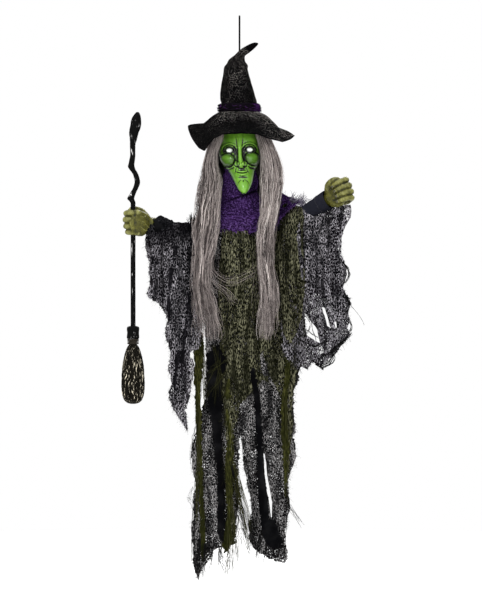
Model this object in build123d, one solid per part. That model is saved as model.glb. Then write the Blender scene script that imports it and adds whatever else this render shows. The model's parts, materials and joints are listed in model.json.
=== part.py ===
# Hanging animated witch figure, about five feet tall.
# Millimetres, +Z up, the figure faces -Y.  The origin is the inside top of the
# hanging loop, on the vertical axis that the neck post and the head turn about.
import math
import os

from build123d import *

os.makedirs("parts", exist_ok=True)

# ---------------------------------------------------------------- sizes
CORD_D = 3.5            # braided hanging cord
HOOK_R = 4.0            # the loop takes a hook wire up to this radius
POST_R, POST_BORE = 8.0, 5.0
POST_TOP, POST_FOOT = -240.0, -716.0
CAP_TOP = -226.0
SLEEVE_R, SLEEVE_BORE = 11.0, 8.06   # turning neck sleeve and its bore
BOX_X, BOX_Y = 72.0, 36.0            # half sizes of the chest housing
BOX_TOP, BOX_BOTTOM = -556.0, -740.0
WALL = 2.5
GEAR_M, HEAD_TEETH, PINION_TEETH = 1.5, 32, 16
GEAR_CD = GEAR_M * (HEAD_TEETH + PINION_TEETH) / 2
PIVOT_X, PIVOT_Z = 100.0, -596.0     # shoulder hinges
ARM_YAW = 30.0                       # arms reach forward of the shoulder line
ARM_UP = {"broom": 0.5, "free": 24.5}
ARM_LEN = {"broom": 166.0, "free": 184.0}
ROD_R, PIN_R = 7.0, 3.95
HANDLE_R, GRIP_R = 7.0, 7.07
FIST = (74.0, 56.0, 78.0)
GRIP_OFF = 16.5                      # grip bore, outward of the fist's middle
LAYER_IN, LAYER_OUT = 36.5, 39.5     # cloth layers hanging either side of an arm
MASK_T = 2.5
EYE_X, EYE_Z, EYE_R = 28.5, -378.0, 9.5


# ---------------------------------------------------------------- helpers
def out(name, *shapes):
    solids = []
    for s in shapes:
        solids += list(s.solids())
    export_step(solids[0] if len(solids) == 1 else Compound(children=solids), f"parts/{name}.step")


def box(x0, x1, y0, y1, z0, z1):
    return Pos((x0 + x1) / 2, (y0 + y1) / 2, (z0 + z1) / 2) * Box(abs(x1 - x0), abs(y1 - y0), abs(z1 - z0))


def cyl(r, z0, z1, x=0.0, y=0.0):
    return Pos(x, y, (z0 + z1) / 2) * Cylinder(r, abs(z1 - z0))


def cyl_y(r, y0, y1, x=0.0, z=0.0):
    return Pos(x, (y0 + y1) / 2, z) * Rot(90, 0, 0) * Cylinder(r, abs(y1 - y0))


def frame(origin, x_dir, z_dir):
    return Plane(origin=origin, x_dir=x_dir, z_dir=z_dir).location


def poly(verts, tris):
    """A closed solid with flat faces, from points and triangles."""
    faces = [Face(Wire.make_polygon([Vector(*verts[i]) for i in t], close=True)) for t in tris]
    s = Solid(Shell(faces))
    return s if s.volume > 0 else -s


def panel(top, bottom):
    """A thin panel between two grids of points of the same size."""
    n, m = len(top), len(top[0])
    verts = [p for row in top for p in row] + [p for row in bottom for p in row]
    o = n * m

    def a(i, j):
        return i * m + j

    tris = []
    for i in range(n - 1):
        for j in range(m - 1):
            tris += [(a(i, j), a(i + 1, j), a(i + 1, j + 1)), (a(i, j), a(i + 1, j + 1), a(i, j + 1))]
            tris += [(o + a(i, j), o + a(i + 1, j + 1), o + a(i + 1, j)), (o + a(i, j), o + a(i, j + 1), o + a(i + 1, j + 1))]
    rim = [a(i, 0) for i in range(n)] + [a(n - 1, j) for j in range(1, m)]
    rim += [a(i, m - 1) for i in range(n - 2, -1, -1)] + [a(0, j) for j in range(m - 2, 0, -1)]
    for k, p in enumerate(rim):
        q = rim[(k + 1) % len(rim)]
        tris += [(p, o + p, o + q), (p, o + q, q)]
    return poly(verts, tris)


def ring(outer, inner, tip=False):
    """A closed band: rows of points round an axis, outside and inside. With tip, the last rows close to a point each."""
    n, k, m = len(outer), len(inner), len(outer[0])
    verts = [p for row in outer for p in row] + [p for row in inner for p in row]
    o = n * m
    tris = []

    def a(i, j):
        return i * m + j % m

    for i in range(n - 1):
        for j in range(m):
            tris += [(a(i, j), a(i + 1, j), a(i + 1, j + 1)), (a(i, j), a(i + 1, j + 1), a(i, j + 1))]
    for i in range(k - 1):
        for j in range(m):
            tris += [(o + a(i, j), o + a(i + 1, j + 1), o + a(i + 1, j)), (o + a(i, j), o + a(i, j + 1), o + a(i + 1, j + 1))]
    for j in range(m):
        tris += [(a(0, j), a(0, j + 1), o + a(0, j + 1)), (a(0, j), o + a(0, j + 1), o + a(0, j))]
    if tip:
        for base, row, last in ((0, outer[-1], n - 1), (o, inner[-1], k - 1)):
            c = [sum(p[i] for p in row) / m for i in range(3)]
            verts.append(c)
            for j in range(m):
                tris.append((base + a(last, j), base + a(last, j + 1), len(verts) - 1))
    else:
        for j in range(m):
            tris += [(a(n - 1, j), o + a(n - 1, j), o + a(n - 1, j + 1)), (a(n - 1, j), o + a(n - 1, j + 1), a(n - 1, j + 1))]
    return poly(verts, tris)


def lump(rows, m=12):
    """A closed solid through flat oval rings (z, cx, cy, rx, ry)."""
    verts, tris = [], []
    for z, cx, cy, rx, ry in rows:
        for j in range(m):
            t = 2 * math.pi * j / m
            verts.append((cx + rx * math.cos(t), cy + ry * math.sin(t), z))
    n = len(rows)
    for i in range(n - 1):
        for j in range(m):
            p, q, r, s = i * m + j, (i + 1) * m + j, (i + 1) * m + (j + 1) % m, i * m + (j + 1) % m
            tris += [(p, q, r), (p, r, s)]
    for i in (0, n - 1):
        z, cx, cy, _, _ = rows[i]
        verts.append((cx, cy, z))
        for j in range(m):
            tris.append((i * m + j, i * m + (j + 1) % m, len(verts) - 1))
    return poly(verts, tris)


def lerp(table, x):
    """Values of a table of rows (x, a, b, ...) at x, whichever way x runs."""
    rows = sorted(table)
    if x <= rows[0][0]:
        return rows[0][1:]
    for a, b in zip(rows, rows[1:]):
        if x <= b[0]:
            t = (x - a[0]) / (b[0] - a[0])
            return tuple(p + (q - p) * t for p, q in zip(a[1:], b[1:]))
    return rows[-1][1:]


def gear(module, teeth, z0, z1, tip=0.9, thin=0.12):
    """A spur gear with involute flanks and a little backlash; a tooth points along +X."""
    rp = module * teeth / 2
    rb, ra, rf = rp * math.cos(math.radians(20)), rp + tip * module, rp - 1.2 * module
    half = math.pi / (2 * teeth) - thin / (2 * rp)
    inv = math.tan(math.radians(20)) - math.radians(20)
    pts = []
    for k in range(teeth):
        c = 2 * math.pi * k / teeth
        flank = []
        for i in range(6):
            r = max(rb, rf) + (ra - max(rb, rf)) * i / 5
            al = math.acos(min(1.0, rb / r))
            flank.append((r, half + inv - (math.tan(al) - al)))
        if rf < rb:
            flank.insert(0, (rf, flank[0][1]))
        for r, t in flank:
            pts.append((r * math.cos(c - t), r * math.sin(c - t)))
        for r, t in reversed(flank):
            pts.append((r * math.cos(c + t), r * math.sin(c + t)))
    w = Wire.make_polygon([Vector(x, y, z0) for x, y in pts], close=True)
    return extrude(Face(w), amount=z1 - z0, dir=(0, 0, 1))


# ---------------------------------------------------------------- hanging loop and neck post
zt = CORD_D / 2
ends = (HOOK_R + CORD_D / 2)
loop_path = FilletPolyline((0, -2.3, CAP_TOP), (0, -ends, zt), (0, ends, zt), (0, 2.3, CAP_TOP),
                           radius=ends - 0.12)
loop = sweep(Plane(origin=(0, -2.3, CAP_TOP), z_dir=loop_path % 0) * Circle(CORD_D / 2), path=loop_path)
loop = loop & box(-30, 30, -30, 30, CAP_TOP, 30)
print("loop volume", loop.volume, "length x section", loop_path.length * math.pi * CORD_D ** 2 / 4, "length", loop_path.length)
out("hanging_loop", loop)
post = cyl(POST_R, POST_FOOT, POST_TOP) - cyl(POST_BORE, POST_FOOT + 12, POST_TOP + 1)
out("neck_post", post)
cap = cyl(10.0, POST_TOP, CAP_TOP) + cyl(4.95, POST_TOP - 10, POST_TOP)
out("post_cap", fillet(cap.edges().filter_by(GeomType.CIRCLE).sort_by(Axis.Z)[-1], 3.0))

# ---------------------------------------------------------------- turning neck sleeve, gear train
bulkhead = extrude(Pos(0, -9.4, -404) * Ellipse(50.2, 67.6), amount=3)
sleeve = cyl(SLEEVE_R, -585, -296) + bulkhead
sleeve = sleeve + box(-30, -26, -46.75, -36, -402, -373) + box(26, 30, -46.75, -36, -402, -373)
sleeve = sleeve + cyl(14, -401, -392) + cyl(26, -306, -303)
sleeve = sleeve - cyl(SLEEVE_BORE, -600, -290)
out("neck_sleeve", sleeve)
hg = gear(GEAR_M, HEAD_TEETH, -577, -568) - cyl(SLEEVE_R + 0.02, -600, -560)
out("head_gear", hg)
pinion = gear(GEAR_M, PINION_TEETH, -577, -568)
pinion = Rot(0, 0, 180 / PINION_TEETH) * pinion + cyl(3.0, -596, -577)
out("drive_pinion", Pos(GEAR_CD, 0, 0) * pinion)
gbox = box(GEAR_CD - 15, GEAR_CD + 15, -15, 15, -640, -592) - cyl(3.06, -597, -590, GEAR_CD)
out("gearbox", fillet(gbox.edges().filter_by(Axis.Z), 3))
motor = cyl(12, -672, -640.1, GEAR_CD) + cyl(4, -676, -672, GEAR_CD)
out("motor", motor)
out("post_foot_clamp", box(-13, 13, -11, 11, -737, -702) - cyl(POST_R + 0.01, POST_FOOT, -700))
bush = cyl(14.5, -562, BOX_TOP - WALL - 0.05) - cyl(SLEEVE_R + 0.06, -563, -556)
out("neck_bush", bush)

# ---------------------------------------------------------------- chest housing
outer = box(-BOX_X, BOX_X, -BOX_Y, BOX_Y, BOX_BOTTOM, BOX_TOP)
outer = fillet(outer.edges(), 7)
inner = box(-BOX_X + WALL, BOX_X - WALL, -BOX_Y + WALL, BOX_Y - WALL, BOX_BOTTOM + WALL, BOX_TOP - WALL)
inner = fillet(inner.edges(), 4.5)
shell = outer - inner - cyl(SLEEVE_R + 0.8, BOX_TOP - 9, BOX_TOP + 5)
screw_at = [(x, z) for x in (-63, 63) for z in (-566, -730)]
front = shell & box(-99, 99, -99, 0, -999, 0)
rear = shell & box(-99, 99, 0.15, 99, -999, 0)
for x, z in screw_at:
    front = front + (cyl_y(4.2, -BOX_Y + 1, 0, x, z) & outer)
    rear = rear + (cyl_y(4.2, 0.15, BOX_Y - 1, x, z) & outer)
for x, z in screw_at:
    front = front - cyl_y(1.55, -20, 1, x, z)
    rear = rear - cyl_y(1.8, 0, 40, x, z) - cyl_y(3.4, BOX_Y - 3, 40, x, z)
for k in range(5):
    zz = -676 + 13 * k
    half = (16, 24, 26, 24, 16)[k]
    front = front - box(-35 - half, -35 + half, -40, -30, zz, zz + 4)
front = front - cyl_y(4.1, -40, -30, 46, -650)
rear = rear - box(-26, 26, 30, 40, -700, -644)
rear = rear + box(31, 34, BOX_Y - 1, 41, -705, -640) + box(28, 31, 39.4, 41, -705, -640)
rear = rear + box(-34, -31, BOX_Y - 1, 41, -705, -640) + box(-31, -28, 39.4, 41, -705, -640)
rear = rear - box(45.5, 50.5, 30, 40, -611, -595) - cyl_y(6.4, 30, 40, -48, -603)
out("chest_front_housing", front)
out("chest_rear_housing", rear)
screws = []
for x, z in screw_at:
    s = cyl_y(1.45, -16, BOX_Y - 3, x, z) + cyl_y(3.1, BOX_Y - 2.9, BOX_Y - 0.8, x, z)
    s = s - box(x - 0.5, x + 0.5, BOX_Y - 1.8, BOX_Y, z - 2.4, z + 2.4) - box(x - 2.4, x + 2.4, BOX_Y - 1.8, BOX_Y, z - 0.5, z + 0.5)
    screws.append(s)
out("housing_screws", *screws)
cover = box(-30.5, 30.5, BOX_Y + 0.25, 39.1, -703, -641)
for k in range(4):
    cover = cover + box(-12, 12, 39.1, 40.3, -692 + 5 * k, -690 + 5 * k)
out("battery_cover", cover)
out("battery_tray", box(-28, 28, 13, 15, -703, -642) + box(-28, 28, 15, 32, -703, -701.5) + box(-28, 28, 15, 32, -643.5, -642))
out("batteries", *[cyl(7.2, -697, -647.5, x, 23) + cyl(2.6, -647.5, -645.7, x, 23) for x in (-16.5, 0, 16.5)])
out("battery_contacts", *[cyl(4.5, -645.4, -643.9, x, 23) for x in (-16.5, 0, 16.5)],
    *[Pos(x, 23, -699.3) * Cone(4.5, 3.0, 3.6) for x in (-16.5, 0, 16.5)])
spk = cyl_y(27, -33.3, -30.5, -35, -650) + Pos(-35, -25.5, -650) * Rot(90, 0, 0) * Cone(13, 25, 10)
out("speaker", spk + cyl_y(13, -20.5, -12, -35, -650))
pcb = box(14, 56, -31, -29.4, -727, -688)
pcb = pcb + box(20, 32, -29.4, -26.5, -714, -702) + box(38, 44, -29.4, -27.5, -722, -708) + cyl_y(4, -29.4, -18, 49, -697)
out("circuit_board", pcb)
out("sound_sensor", cyl_y(3.9, -37.6, -28, 46, -650))
out("switch_body", box(40, 56, 24, 32.9, -614, -592) - box(45, 51, 30, 34, -612, -594))
out("switch_slider", box(46, 50, 30.4, 40, -610, -602) + box(45.6, 50.4, 30.4, 32, -610.4, -601.6))
out("try_button", cyl_y(6.0, 31.2, 39.5, -48, -603) + cyl_y(7.6, 31.6, 33.2, -48, -603) + cyl_y(2.5, 27, 31.2, -48, -603))
out("button_switch", box(-56, -40, 16, 23.5, -611, -595))


# ---------------------------------------------------------------- shoulders, arms, fists
def arm_axes(side):
    """Outward, hinge and up directions of an arm at rest, and its shoulder pivot."""
    sx = -1 if side == "broom" else 1
    yaw, up = math.radians(ARM_YAW), math.radians(ARM_UP[side])
    d0 = Vector(sx * math.cos(yaw), -math.sin(yaw), 0)
    a = Vector(d0.Y, -d0.X, 0)
    d = d0 * math.cos(up) + Vector(0, 0, 1) * math.sin(up)
    return d0, a, d, Vector(sx * PIVOT_X, 0, PIVOT_Z)


pins = []
for side in ("broom", "free"):
    d0, a, d, P = arm_axes(side)
    sx = -1 if side == "broom" else 1
    flat = frame(P, d0, a)          # local x outward, local z along the hinge, local y is +/- up
    ears = Pos(-11, 0, 0) * Box(46, 24, 24) - Pos(20, 0, 0) * Box(90, 40, 16.2) + Pos(-29, 0, 0) * Box(22, 24, 24)
    ears = ears - Cylinder(4.0, 60)
    ears = fillet(ears.edges().filter_by(Axis.Z).sort_by(Axis.X)[-4:], 8)
    bracket = flat * ears
    keep = box(BOX_X + 0.1, 300, -99, 99, -999, 0) if sx > 0 else box(-300, -BOX_X - 0.1, -99, 99, -999, 0)
    out(f"{side}_shoulder_bracket", bracket & keep)
    pin = flat * (Cylinder(PIN_R, 25) + Pos(0, 0, 13.3) * Cylinder(6.5, 2.2) + Pos(0, 0, -13.3) * Cylinder(6.5, 2.2))
    pins.append(pin)
    tilt = frame(P, d, a)
    L = ARM_LEN[side]
    rod = Cylinder(11, 15) - Cylinder(4.02, 30)
    rod = rod + (Pos(L / 2 + 5, 0, 0) * Rot(0, 90, 0) * Cylinder(ROD_R, L - 8) - Cylinder(9, 30))
    out(f"{side}_arm_rod", tilt * rod)
    cuff = Pos((L + 18) / 2 - 0.5, 0, 0) * Rot(0, 90, 0) * (Cone(20.0, 25.5, L - 19) - Cone(17.8, 23.3, L - 18.9))
    out(f"{side}_undersleeve", tilt * cuff)
    # fist: the broom fist grips a vertical handle, the free fist follows its arm
    s_mid = L + 44
    if side == "broom":
        centre = P + d0 * s_mid + Vector(0, 0, 12.5)
        grip = Vector(0, 0, 1)
        fx = d0
    else:
        centre = P + d * s_mid * 0.985
        grip = a.cross(d) * -1 if (a.cross(d)).Z < 0 else a.cross(d)
        fx = d
    loc = frame(centre, fx, grip)
    fist = fillet(Box(*FIST).edges(), 16) - Pos(GRIP_OFF, 0, 0) * Cylinder(GRIP_R, 120)
    hub = tilt * (Pos(L + 4, 0, 0) * Rot(0, 90, 0) * Cylinder(15, 22))
    hand = loc * fist + hub - tilt * (Pos(L / 2 + 5, 0, 0) * Rot(0, 90, 0) * Cylinder(ROD_R + 0.02, L - 7.9))
    out(f"{side}_hand", hand)
    g0 = centre + fx * GRIP_OFF
    print(side, "fist centre", tuple(centre), "grip axis point", tuple(g0), "dir", tuple(grip), "pivot", tuple(P), "hinge", tuple(a), "outward", tuple(d0), tuple(d))
    if side == "broom":
        BX, BY = g0.X, g0.Y

out("shoulder_pins", *pins)

# ---------------------------------------------------------------- broom
def stick(points, m=14):
    """A gnarled stick through rows (x, y, z, radius), round sections square to its run."""
    verts, tris = [], []
    n = len(points)
    for i, (x, y, z, r) in enumerate(points):
        p0, p1 = points[max(i - 1, 0)], points[min(i + 1, n - 1)]
        t = (Vector(*p1[:3]) - Vector(*p0[:3])).normalized() if i else Vector(0, 0, 1)
        u = (Vector(0, 1, 0) - t * t.Y).normalized()
        v = t.cross(u)
        for j in range(m):
            q = 2 * math.pi * j / m
            p = Vector(x, y, z) + u * (r * math.cos(q)) + v * (r * math.sin(q))
            verts.append((p.X, p.Y, p.Z))
    for i in range(n - 1):
        for j in range(m):
            p, q, r, s = i * m + j, (i + 1) * m + j, (i + 1) * m + (j + 1) % m, i * m + (j + 1) % m
            tris += [(p, q, r), (p, r, s)]
    for i in (0, n - 1):
        verts.append(points[i][:3])
        for j in range(m):
            tris.append((i * m + j, i * m + (j + 1) % m, len(verts) - 1))
    return poly(verts, tris)


out("broom_handle", cyl(HANDLE_R, -876, -534, BX, BY))
out("broom_crook", stick([(BX, BY, -534, 7.0), (BX - 2, BY, -524, 8.2), (BX - 7, BY, -515, 10.0), (BX - 1, BY, -503, 8.4),
                          (BX + 8, BY - 1, -486, 7.6), (BX + 13, BY - 2, -468, 7.8), (BX + 8, BY - 1, -450, 7.6), (BX - 1, BY, -436, 8.8),
                          (BX - 5, BY + 1, -426, 9.6), (BX - 3, BY + 1, -412, 8.0), (BX - 1, BY, -392, 7.6), (BX - 1, BY, -366, 8.0),
                          (BX + 1, BY, -350, 10.5), (BX + 3, BY, -332, 14.0), (BX + 7, BY, -310, 15.5), (BX + 9, BY, -293, 13.5),
                          (BX + 11, BY, -281, 8.5), (BX + 12, BY, -275, 3.5)]))
bcap = cyl(17.5, -906, -872, BX, BY)
out("broom_cap", fillet(bcap.edges(), 7) - cyl(HANDLE_R + 0.02, -876.02, -860, BX, BY))
out("broom_binding", *[Pos(BX, BY, z) * Torus(14.5, 3.2) for z in (-910.0, -918.5)])
prof = [(0, -906.5), (10.5, -906.5), (11.0, -922), (16, -928), (25, -956), (31, -995), (32.6, -1030), (31, -1058), (24, -1078), (12, -1086), (0, -1087)]
brush_face = make_face(Polyline(*[(r, z) for r, z in prof], close=True))
brush = revolve(Plane.XZ * brush_face, Axis.Z)
out("broom_brush", Pos(BX, BY, 0) * brush)

# ---------------------------------------------------------------- head
SECTIONS = [  # z, half width, half depth, middle y
    (-230, 9, 12, -5), (-241, 22, 28, -5), (-262, 34, 40, -5), (-285, 43, 52, -5), (-310, 50, 64, -5), (-335, 55, 71, -5),
    (-360, 57, 75, -5), (-385, 57, 75, -5), (-403, 54.5, 71, -9), (-420, 47, 62, -18), (-436, 35.5, 50, -31), (-452, 28.5, 40, -43),
    (-468, 21.5, 30, -56), (-484, 13, 18.5, -71), (-494, 8, 10.5, -80.5), (-500, 4, 5, -86),
]


def head_form(t):
    rings = []
    for z, w, dpt, y in SECTIONS:
        zz = z - t if z > -250 else (z + t * 2.5 if z < -495 else (z + t if z < -490 else z))
        rings.append(Plane(origin=(0, y, zz)) * Ellipse(max(w - t, 1.5), max(dpt - t, 2.0)))
    return loft(rings)


skin = head_form(0) - head_form(MASK_T)
split = make_face(Polyline((-200, 0), (2, 0), (2, -400), (-40, -440), (-62, -484), (-75, -520), (-200, -560), close=True))
mask_zone = extrude(Plane.YZ * split, amount=100, both=True)
mask = skin & mask_zone
back_zone = box(-99, 99, 2.2, 99, -408, -200)
back_shell = (skin & back_zone) - cyl(10.5, -260, -200)
mask = mask - cyl(10.5, -260, -200)
nose = poly([(-9, -72, -372), (9, -72, -372), (0, -84, -366), (-12, -72, -424), (12, -72, -424), (0, -107, -423)],
            [(0, 1, 2), (3, 5, 4), (0, 2, 5), (0, 5, 3), (1, 5, 2), (1, 4, 5), (0, 3, 4), (0, 4, 1)])
mask = mask + (nose - head_form(MASK_T))
for x in (-EYE_X, EYE_X):
    mask = mask - cyl_y(EYE_R, -120, -40, x, EYE_Z)
out("face_mask", mask)
out("head_back_shell", back_shell)
lenses = []
for x in (-EYE_X, EYE_X):
    lens = cyl_y(EYE_R - 0.2, -70, -64, x, EYE_Z) + Pos(x, -61, EYE_Z) * Sphere(12.5) & cyl_y(EYE_R - 0.2, -80, -62, x, EYE_Z)
    lenses.append(lens)
out("eye_lenses", *lenses)
out("eye_led_board", box(-38, 38, -48.4, -46.8, EYE_Z - 8, EYE_Z + 8),
    *[cyl_y(2.5, -58, -50, x, EYE_Z) + cyl_y(3.0, -50, -48.45, x, EYE_Z) for x in (-EYE_X, EYE_X)])

# ---------------------------------------------------------------- hat
M = 32


def crown_rows(t):
    spine = [  # x, z, half width, half depth, lean of the section in degrees
        (-1, -262, 53, 53, 0), (-1, -245, 51.8, 51.8, 0), (-4, -223, 50, 50, 0), (-5.6, -205, 46.5, 46.5, 0), (-7, -185, 41, 41, 0),
        (-8.4, -160, 36, 36, 0), (-10.5, -140, 31.5, 31.5, 5), (-10, -128, 27.5, 27.5, 18), (-6, -116, 19, 19, 38), (4, -104.5, 11.5, 15, 52),
        (21, -91, 8.5, 11, 55), (37, -79.5, 6.5, 8, 58), (47, -74, 4.5, 5, 62),
    ]
    rows = []
    for x, z, r, deep, lean in spine:
        c, s = math.cos(math.radians(lean)), math.sin(math.radians(lean))
        r = max(r - t, r * 0.45)
        row = []
        for j in range(M):
            q = 2 * math.pi * j / M
            u, v = r * math.cos(q), (r if r > 14 else deep - t) * math.sin(q)
            row.append((x + u * c, v, z - u * s))
        rows.append(row)
    return rows


crown = ring(crown_rows(0), crown_rows(2.0)[:7], tip=True)
crown = crown - cyl(7.6, -150, -40)
out("hat_crown", crown)

RIM = [(0, -333), (20, -322), (60, -298), (90, -292), (120, -292), (160, -298), (180, -310), (200, -338), (215, -366), (228, -380),
       (245, -360), (258, -338), (270, -329), (285, -330), (300, -338), (318, -352), (335, -346), (350, -336), (360, -333)]


def brim_z(theta, u):
    rim = lerp(RIM, theta % 360)[0]
    return -270 + (rim + 270) * u ** 1.2


def brim_rows(dz):
    rows = []
    for u in (0, 0.18, 0.36, 0.55, 0.75, 0.9, 1.0):
        row = []
        for j in range(48):
            th = 360 * j / 48
            cx, r = -1 + 4 * u, 53 + (145 - 53) * u
            row.append((cx + r * math.cos(math.radians(th)), r * math.sin(math.radians(th)), brim_z(th, u) + dz))
        rows.append(row)
    return rows


out("hat_brim", ring(brim_rows(1.3), brim_rows(-1.3)))
band = cyl(58.5, -267, -247, -1) - cyl(53.4, -270, -240, -1)
out("hat_band", fillet(band.edges().filter_by(GeomType.CIRCLE).sort_by(SortBy.RADIUS)[-2:], 2.2))

# ---------------------------------------------------------------- hair: on the head, and lying on the robe
out("hair_broom_side_upper", lump([(-335, -78, -4, 18, 42), (-380, -85, -18, 24, 42), (-440, -88, -44, 30, 38), (-480, -90, -62, 34, 32), (-505, -91, -74, 34, 30)]))
out("hair_free_side_upper", lump([(-335, 78, -4, 18, 42), (-380, 86, -18, 24, 42), (-440, 90, -40, 31, 40), (-480, 89, -58, 34, 34), (-505, 87, -72, 34, 30)]))
out("hair_back_upper", lump([(-335, 0, 92, 52, 12), (-400, 0, 95, 62, 13), (-470, 0, 101, 66, 13), (-505, 0, 106, 66, 12)]))
out("hair_broom_side_lower", lump([(-513, -90, -96, 33, 13), (-600, -92, -106, 36, 13), (-700, -107, -104, 24, 12), (-780, -103, -100, 34, 12), (-850, -90, -97, 42, 12), (-898, -90, -95, 28, 9)]))
out("hair_free_side_lower", lump([(-513, 84, -96, 31, 13), (-600, 80, -106, 28, 13), (-700, 74, -104, 25, 12), (-780, 78, -100, 28, 12), (-850, 82, -97, 31, 12), (-900, 76, -94, 20, 9)]))
out("hair_back_lower", lump([(-513, 0, 110, 64, 10), (-620, 0, 112, 66, 11), (-720, 0, 108, 60, 11), (-820, 0, 100, 44, 9)]))


# ---------------------------------------------------------------- cowl, underdress, robe
def cowl_rows(t):
    rows = []
    for z_side, z_front, r in ((-424, -424, 41), (-470, -470, 43), (-526, -526, 47.5), (-539, -539, 62), (-549, -549, 85),
                               (-561, -575, 92), (-572, -617, 95)):
        row = []
        for j in range(32):
            th = 2 * math.pi * j / 32
            f = abs(math.sin(th)) ** 1.6
            row.append(((r - t) * math.cos(th), (r - t) * math.sin(th), z_side + (z_front - z_side) * f))
        rows.append(row)
    return rows


out("cowl", ring(cowl_rows(0), cowl_rows(3.0)))

BODY = [  # z, middle x, half width, half depth of the robe
    (-598, 0, 84, 74), (-645, 0, 98, 79), (-720, 0, 105, 78), (-800, 0, 108, 75), (-900, 0, 111, 70), (-1000, 0, 112, 63),
    (-1060, 14, 128, 58), (-1130, 20, 134, 53), (-1190, 20, 137, 48),
]
LOBES = {  # z, inner x, outer x, half depth of each lower lobe of the robe
    -1: [(-1240, -6, -124, 42), (-1300, -12, -129, 36), (-1380, -12, -130, 31), (-1450, -10, -128, 27), (-1500, -24, -126, 23), (-1540, -70, -122, 17), (-1580, -100, -118, 9)],
    1: [(-1240, 22, 156, 42), (-1300, 36, 148, 36), (-1380, 44, 142, 31), (-1450, 44, 136, 27), (-1500, 58, 131, 22), (-1531, 76, 127, 15)],
}


def gore(side, face, grow, t):
    """One quarter of the robe, from the yoke to the torn hem. side is -1 or 1, face is -1 for the front."""
    rows_out, rows_in = [], []
    for rows, g in ((rows_out, grow), (rows_in, grow - t)):
        for z, cx, w, dp in BODY:
            q0, q1 = 89.3, (38 if z > -620 else 3.0)
            row = []
            for k in range(9):
                q = math.radians(q0 + (q1 - q0) * k / 8)
                row.append((cx + side * (w + g) * math.cos(q), face * (dp + g) * math.sin(q), z))
            rows.append(row)
        for z, xi, xo, dp in LOBES[side]:
            row = []
            for k in range(9):
                q = math.radians(172 + (8 - 172) * k / 8)
                w = max((abs(xo - xi)) / 2 + g, 4)
                row.append(((xi + xo) / 2 + side * w * math.cos(q), face * (dp + g) * math.sin(q), z))
            rows.append(row)
    return panel(rows_out, rows_in)


out("robe_front", gore(-1, -1, 0, 2.5), gore(1, -1, 0, 2.5))
out("robe_back", gore(-1, 1, 0, 2.5), gore(1, 1, 0, 2.5))


def wrap(rows, q0, q1, n, t):
    """A curved panel on oval rows (z, cx, half width, half depth), from angle q0 to q1."""
    a, b = [], []
    for z, cx, w, dp in rows:
        for keep, g in ((a, 0), (b, t)):
            keep.append([(cx + (w - g) * math.cos(math.radians(q0 + (q1 - q0) * k / n)),
                          (dp - g) * math.sin(math.radians(q0 + (q1 - q0) * k / n)), z) for k in range(n + 1)])
    return panel(a, b)


UNDER = [(-650, 0, 88, 66), (-740, 0, 92, 64), (-850, 0, 94, 60), (-1010, 0, 94, 52)]
out("underdress", wrap(UNDER, 183, 357, 16, 2.0), wrap(UNDER, 3, 177, 16, 2.0),
    panel([[(x0, -6, z), ((x0 + x1) / 2, -10, z), (x1, -6, z)] for z, x0, x1 in ((-1013, -84, -30), (-1150, -70, -36), (-1300, -64, -44), (-1380, -56, -40))],
          [[(x0, -4, z), ((x0 + x1) / 2, -8, z), (x1, -4, z)] for z, x0, x1 in ((-1013, -84, -30), (-1150, -70, -36), (-1300, -64, -44), (-1380, -56, -40))]),
    panel([[(x0, -6, z), ((x0 + x1) / 2, -10, z), (x1, -6, z)] for z, x0, x1 in ((-1013, 30, 74), (-1150, 44, 78), (-1300, 52, 84), (-1420, 66, 108), (-1505, 76, 116))],
          [[(x0, -4, z), ((x0 + x1) / 2, -8, z), (x1, -4, z)] for z, x0, x1 in ((-1013, 30, 74), (-1150, 44, 78), (-1300, 52, 84), (-1420, 66, 108), (-1505, 76, 116))]))
OVER = [(-628, 0, 96, 84.5), (-700, 0, 108, 84.5), (-800, 0, 112, 81.5), (-900, 0, 115, 77), (-990, 0, 116, 70)]
out("olive_overlay", wrap(OVER, 240, 322, 8, 1.8))


# ---------------------------------------------------------------- sleeve drapes, one layer each side of an arm
DRAPE = {
    "broom": [(45, -560), (178, -560), (182, -630), (172, -690), (163, -735), (182, -788), (128, -820), (115, -860), (106, -920), (108, -975),
              (104, -1035), (88, -1104), (50, -1166), (47, -1060), (45, -800)],
    "free": [(45, -558), (111, -566), (178, -548), (224, -536), (230, -560), (220, -600), (211, -655), (222, -700), (236, -738), (222, -780),
             (240, -814), (238, -888), (196, -946), (152, -984), (106, -992), (62, -960), (45, -900)],
}
for side in ("broom", "free"):
    d0, a, d, P = arm_axes(side)
    layers = []
    for off in (LAYER_IN, -LAYER_OUT):
        loc = frame((P.X, P.Y, 0), d0, a)       # local x outward, local y is +/- Z
        up = (loc * Location((0, 1, 0))).position.Z
        pts = [(s, z * (1 if up > 0 else -1)) for s, z in DRAPE[side]]
        face = make_face(Polyline(*pts, close=True))
        layers.append(loc * (Pos(0, 0, off) * extrude(face, amount=LAYER_OUT - LAYER_IN, dir=(0, 0, 1))))
    out(f"{side}_sleeve_drape", *layers)
    print(side, "sleeve hinge point", tuple(P + d * 100))
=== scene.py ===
import json
import math
import random

import bpy
import numpy as np
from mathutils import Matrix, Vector, geometry


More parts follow.
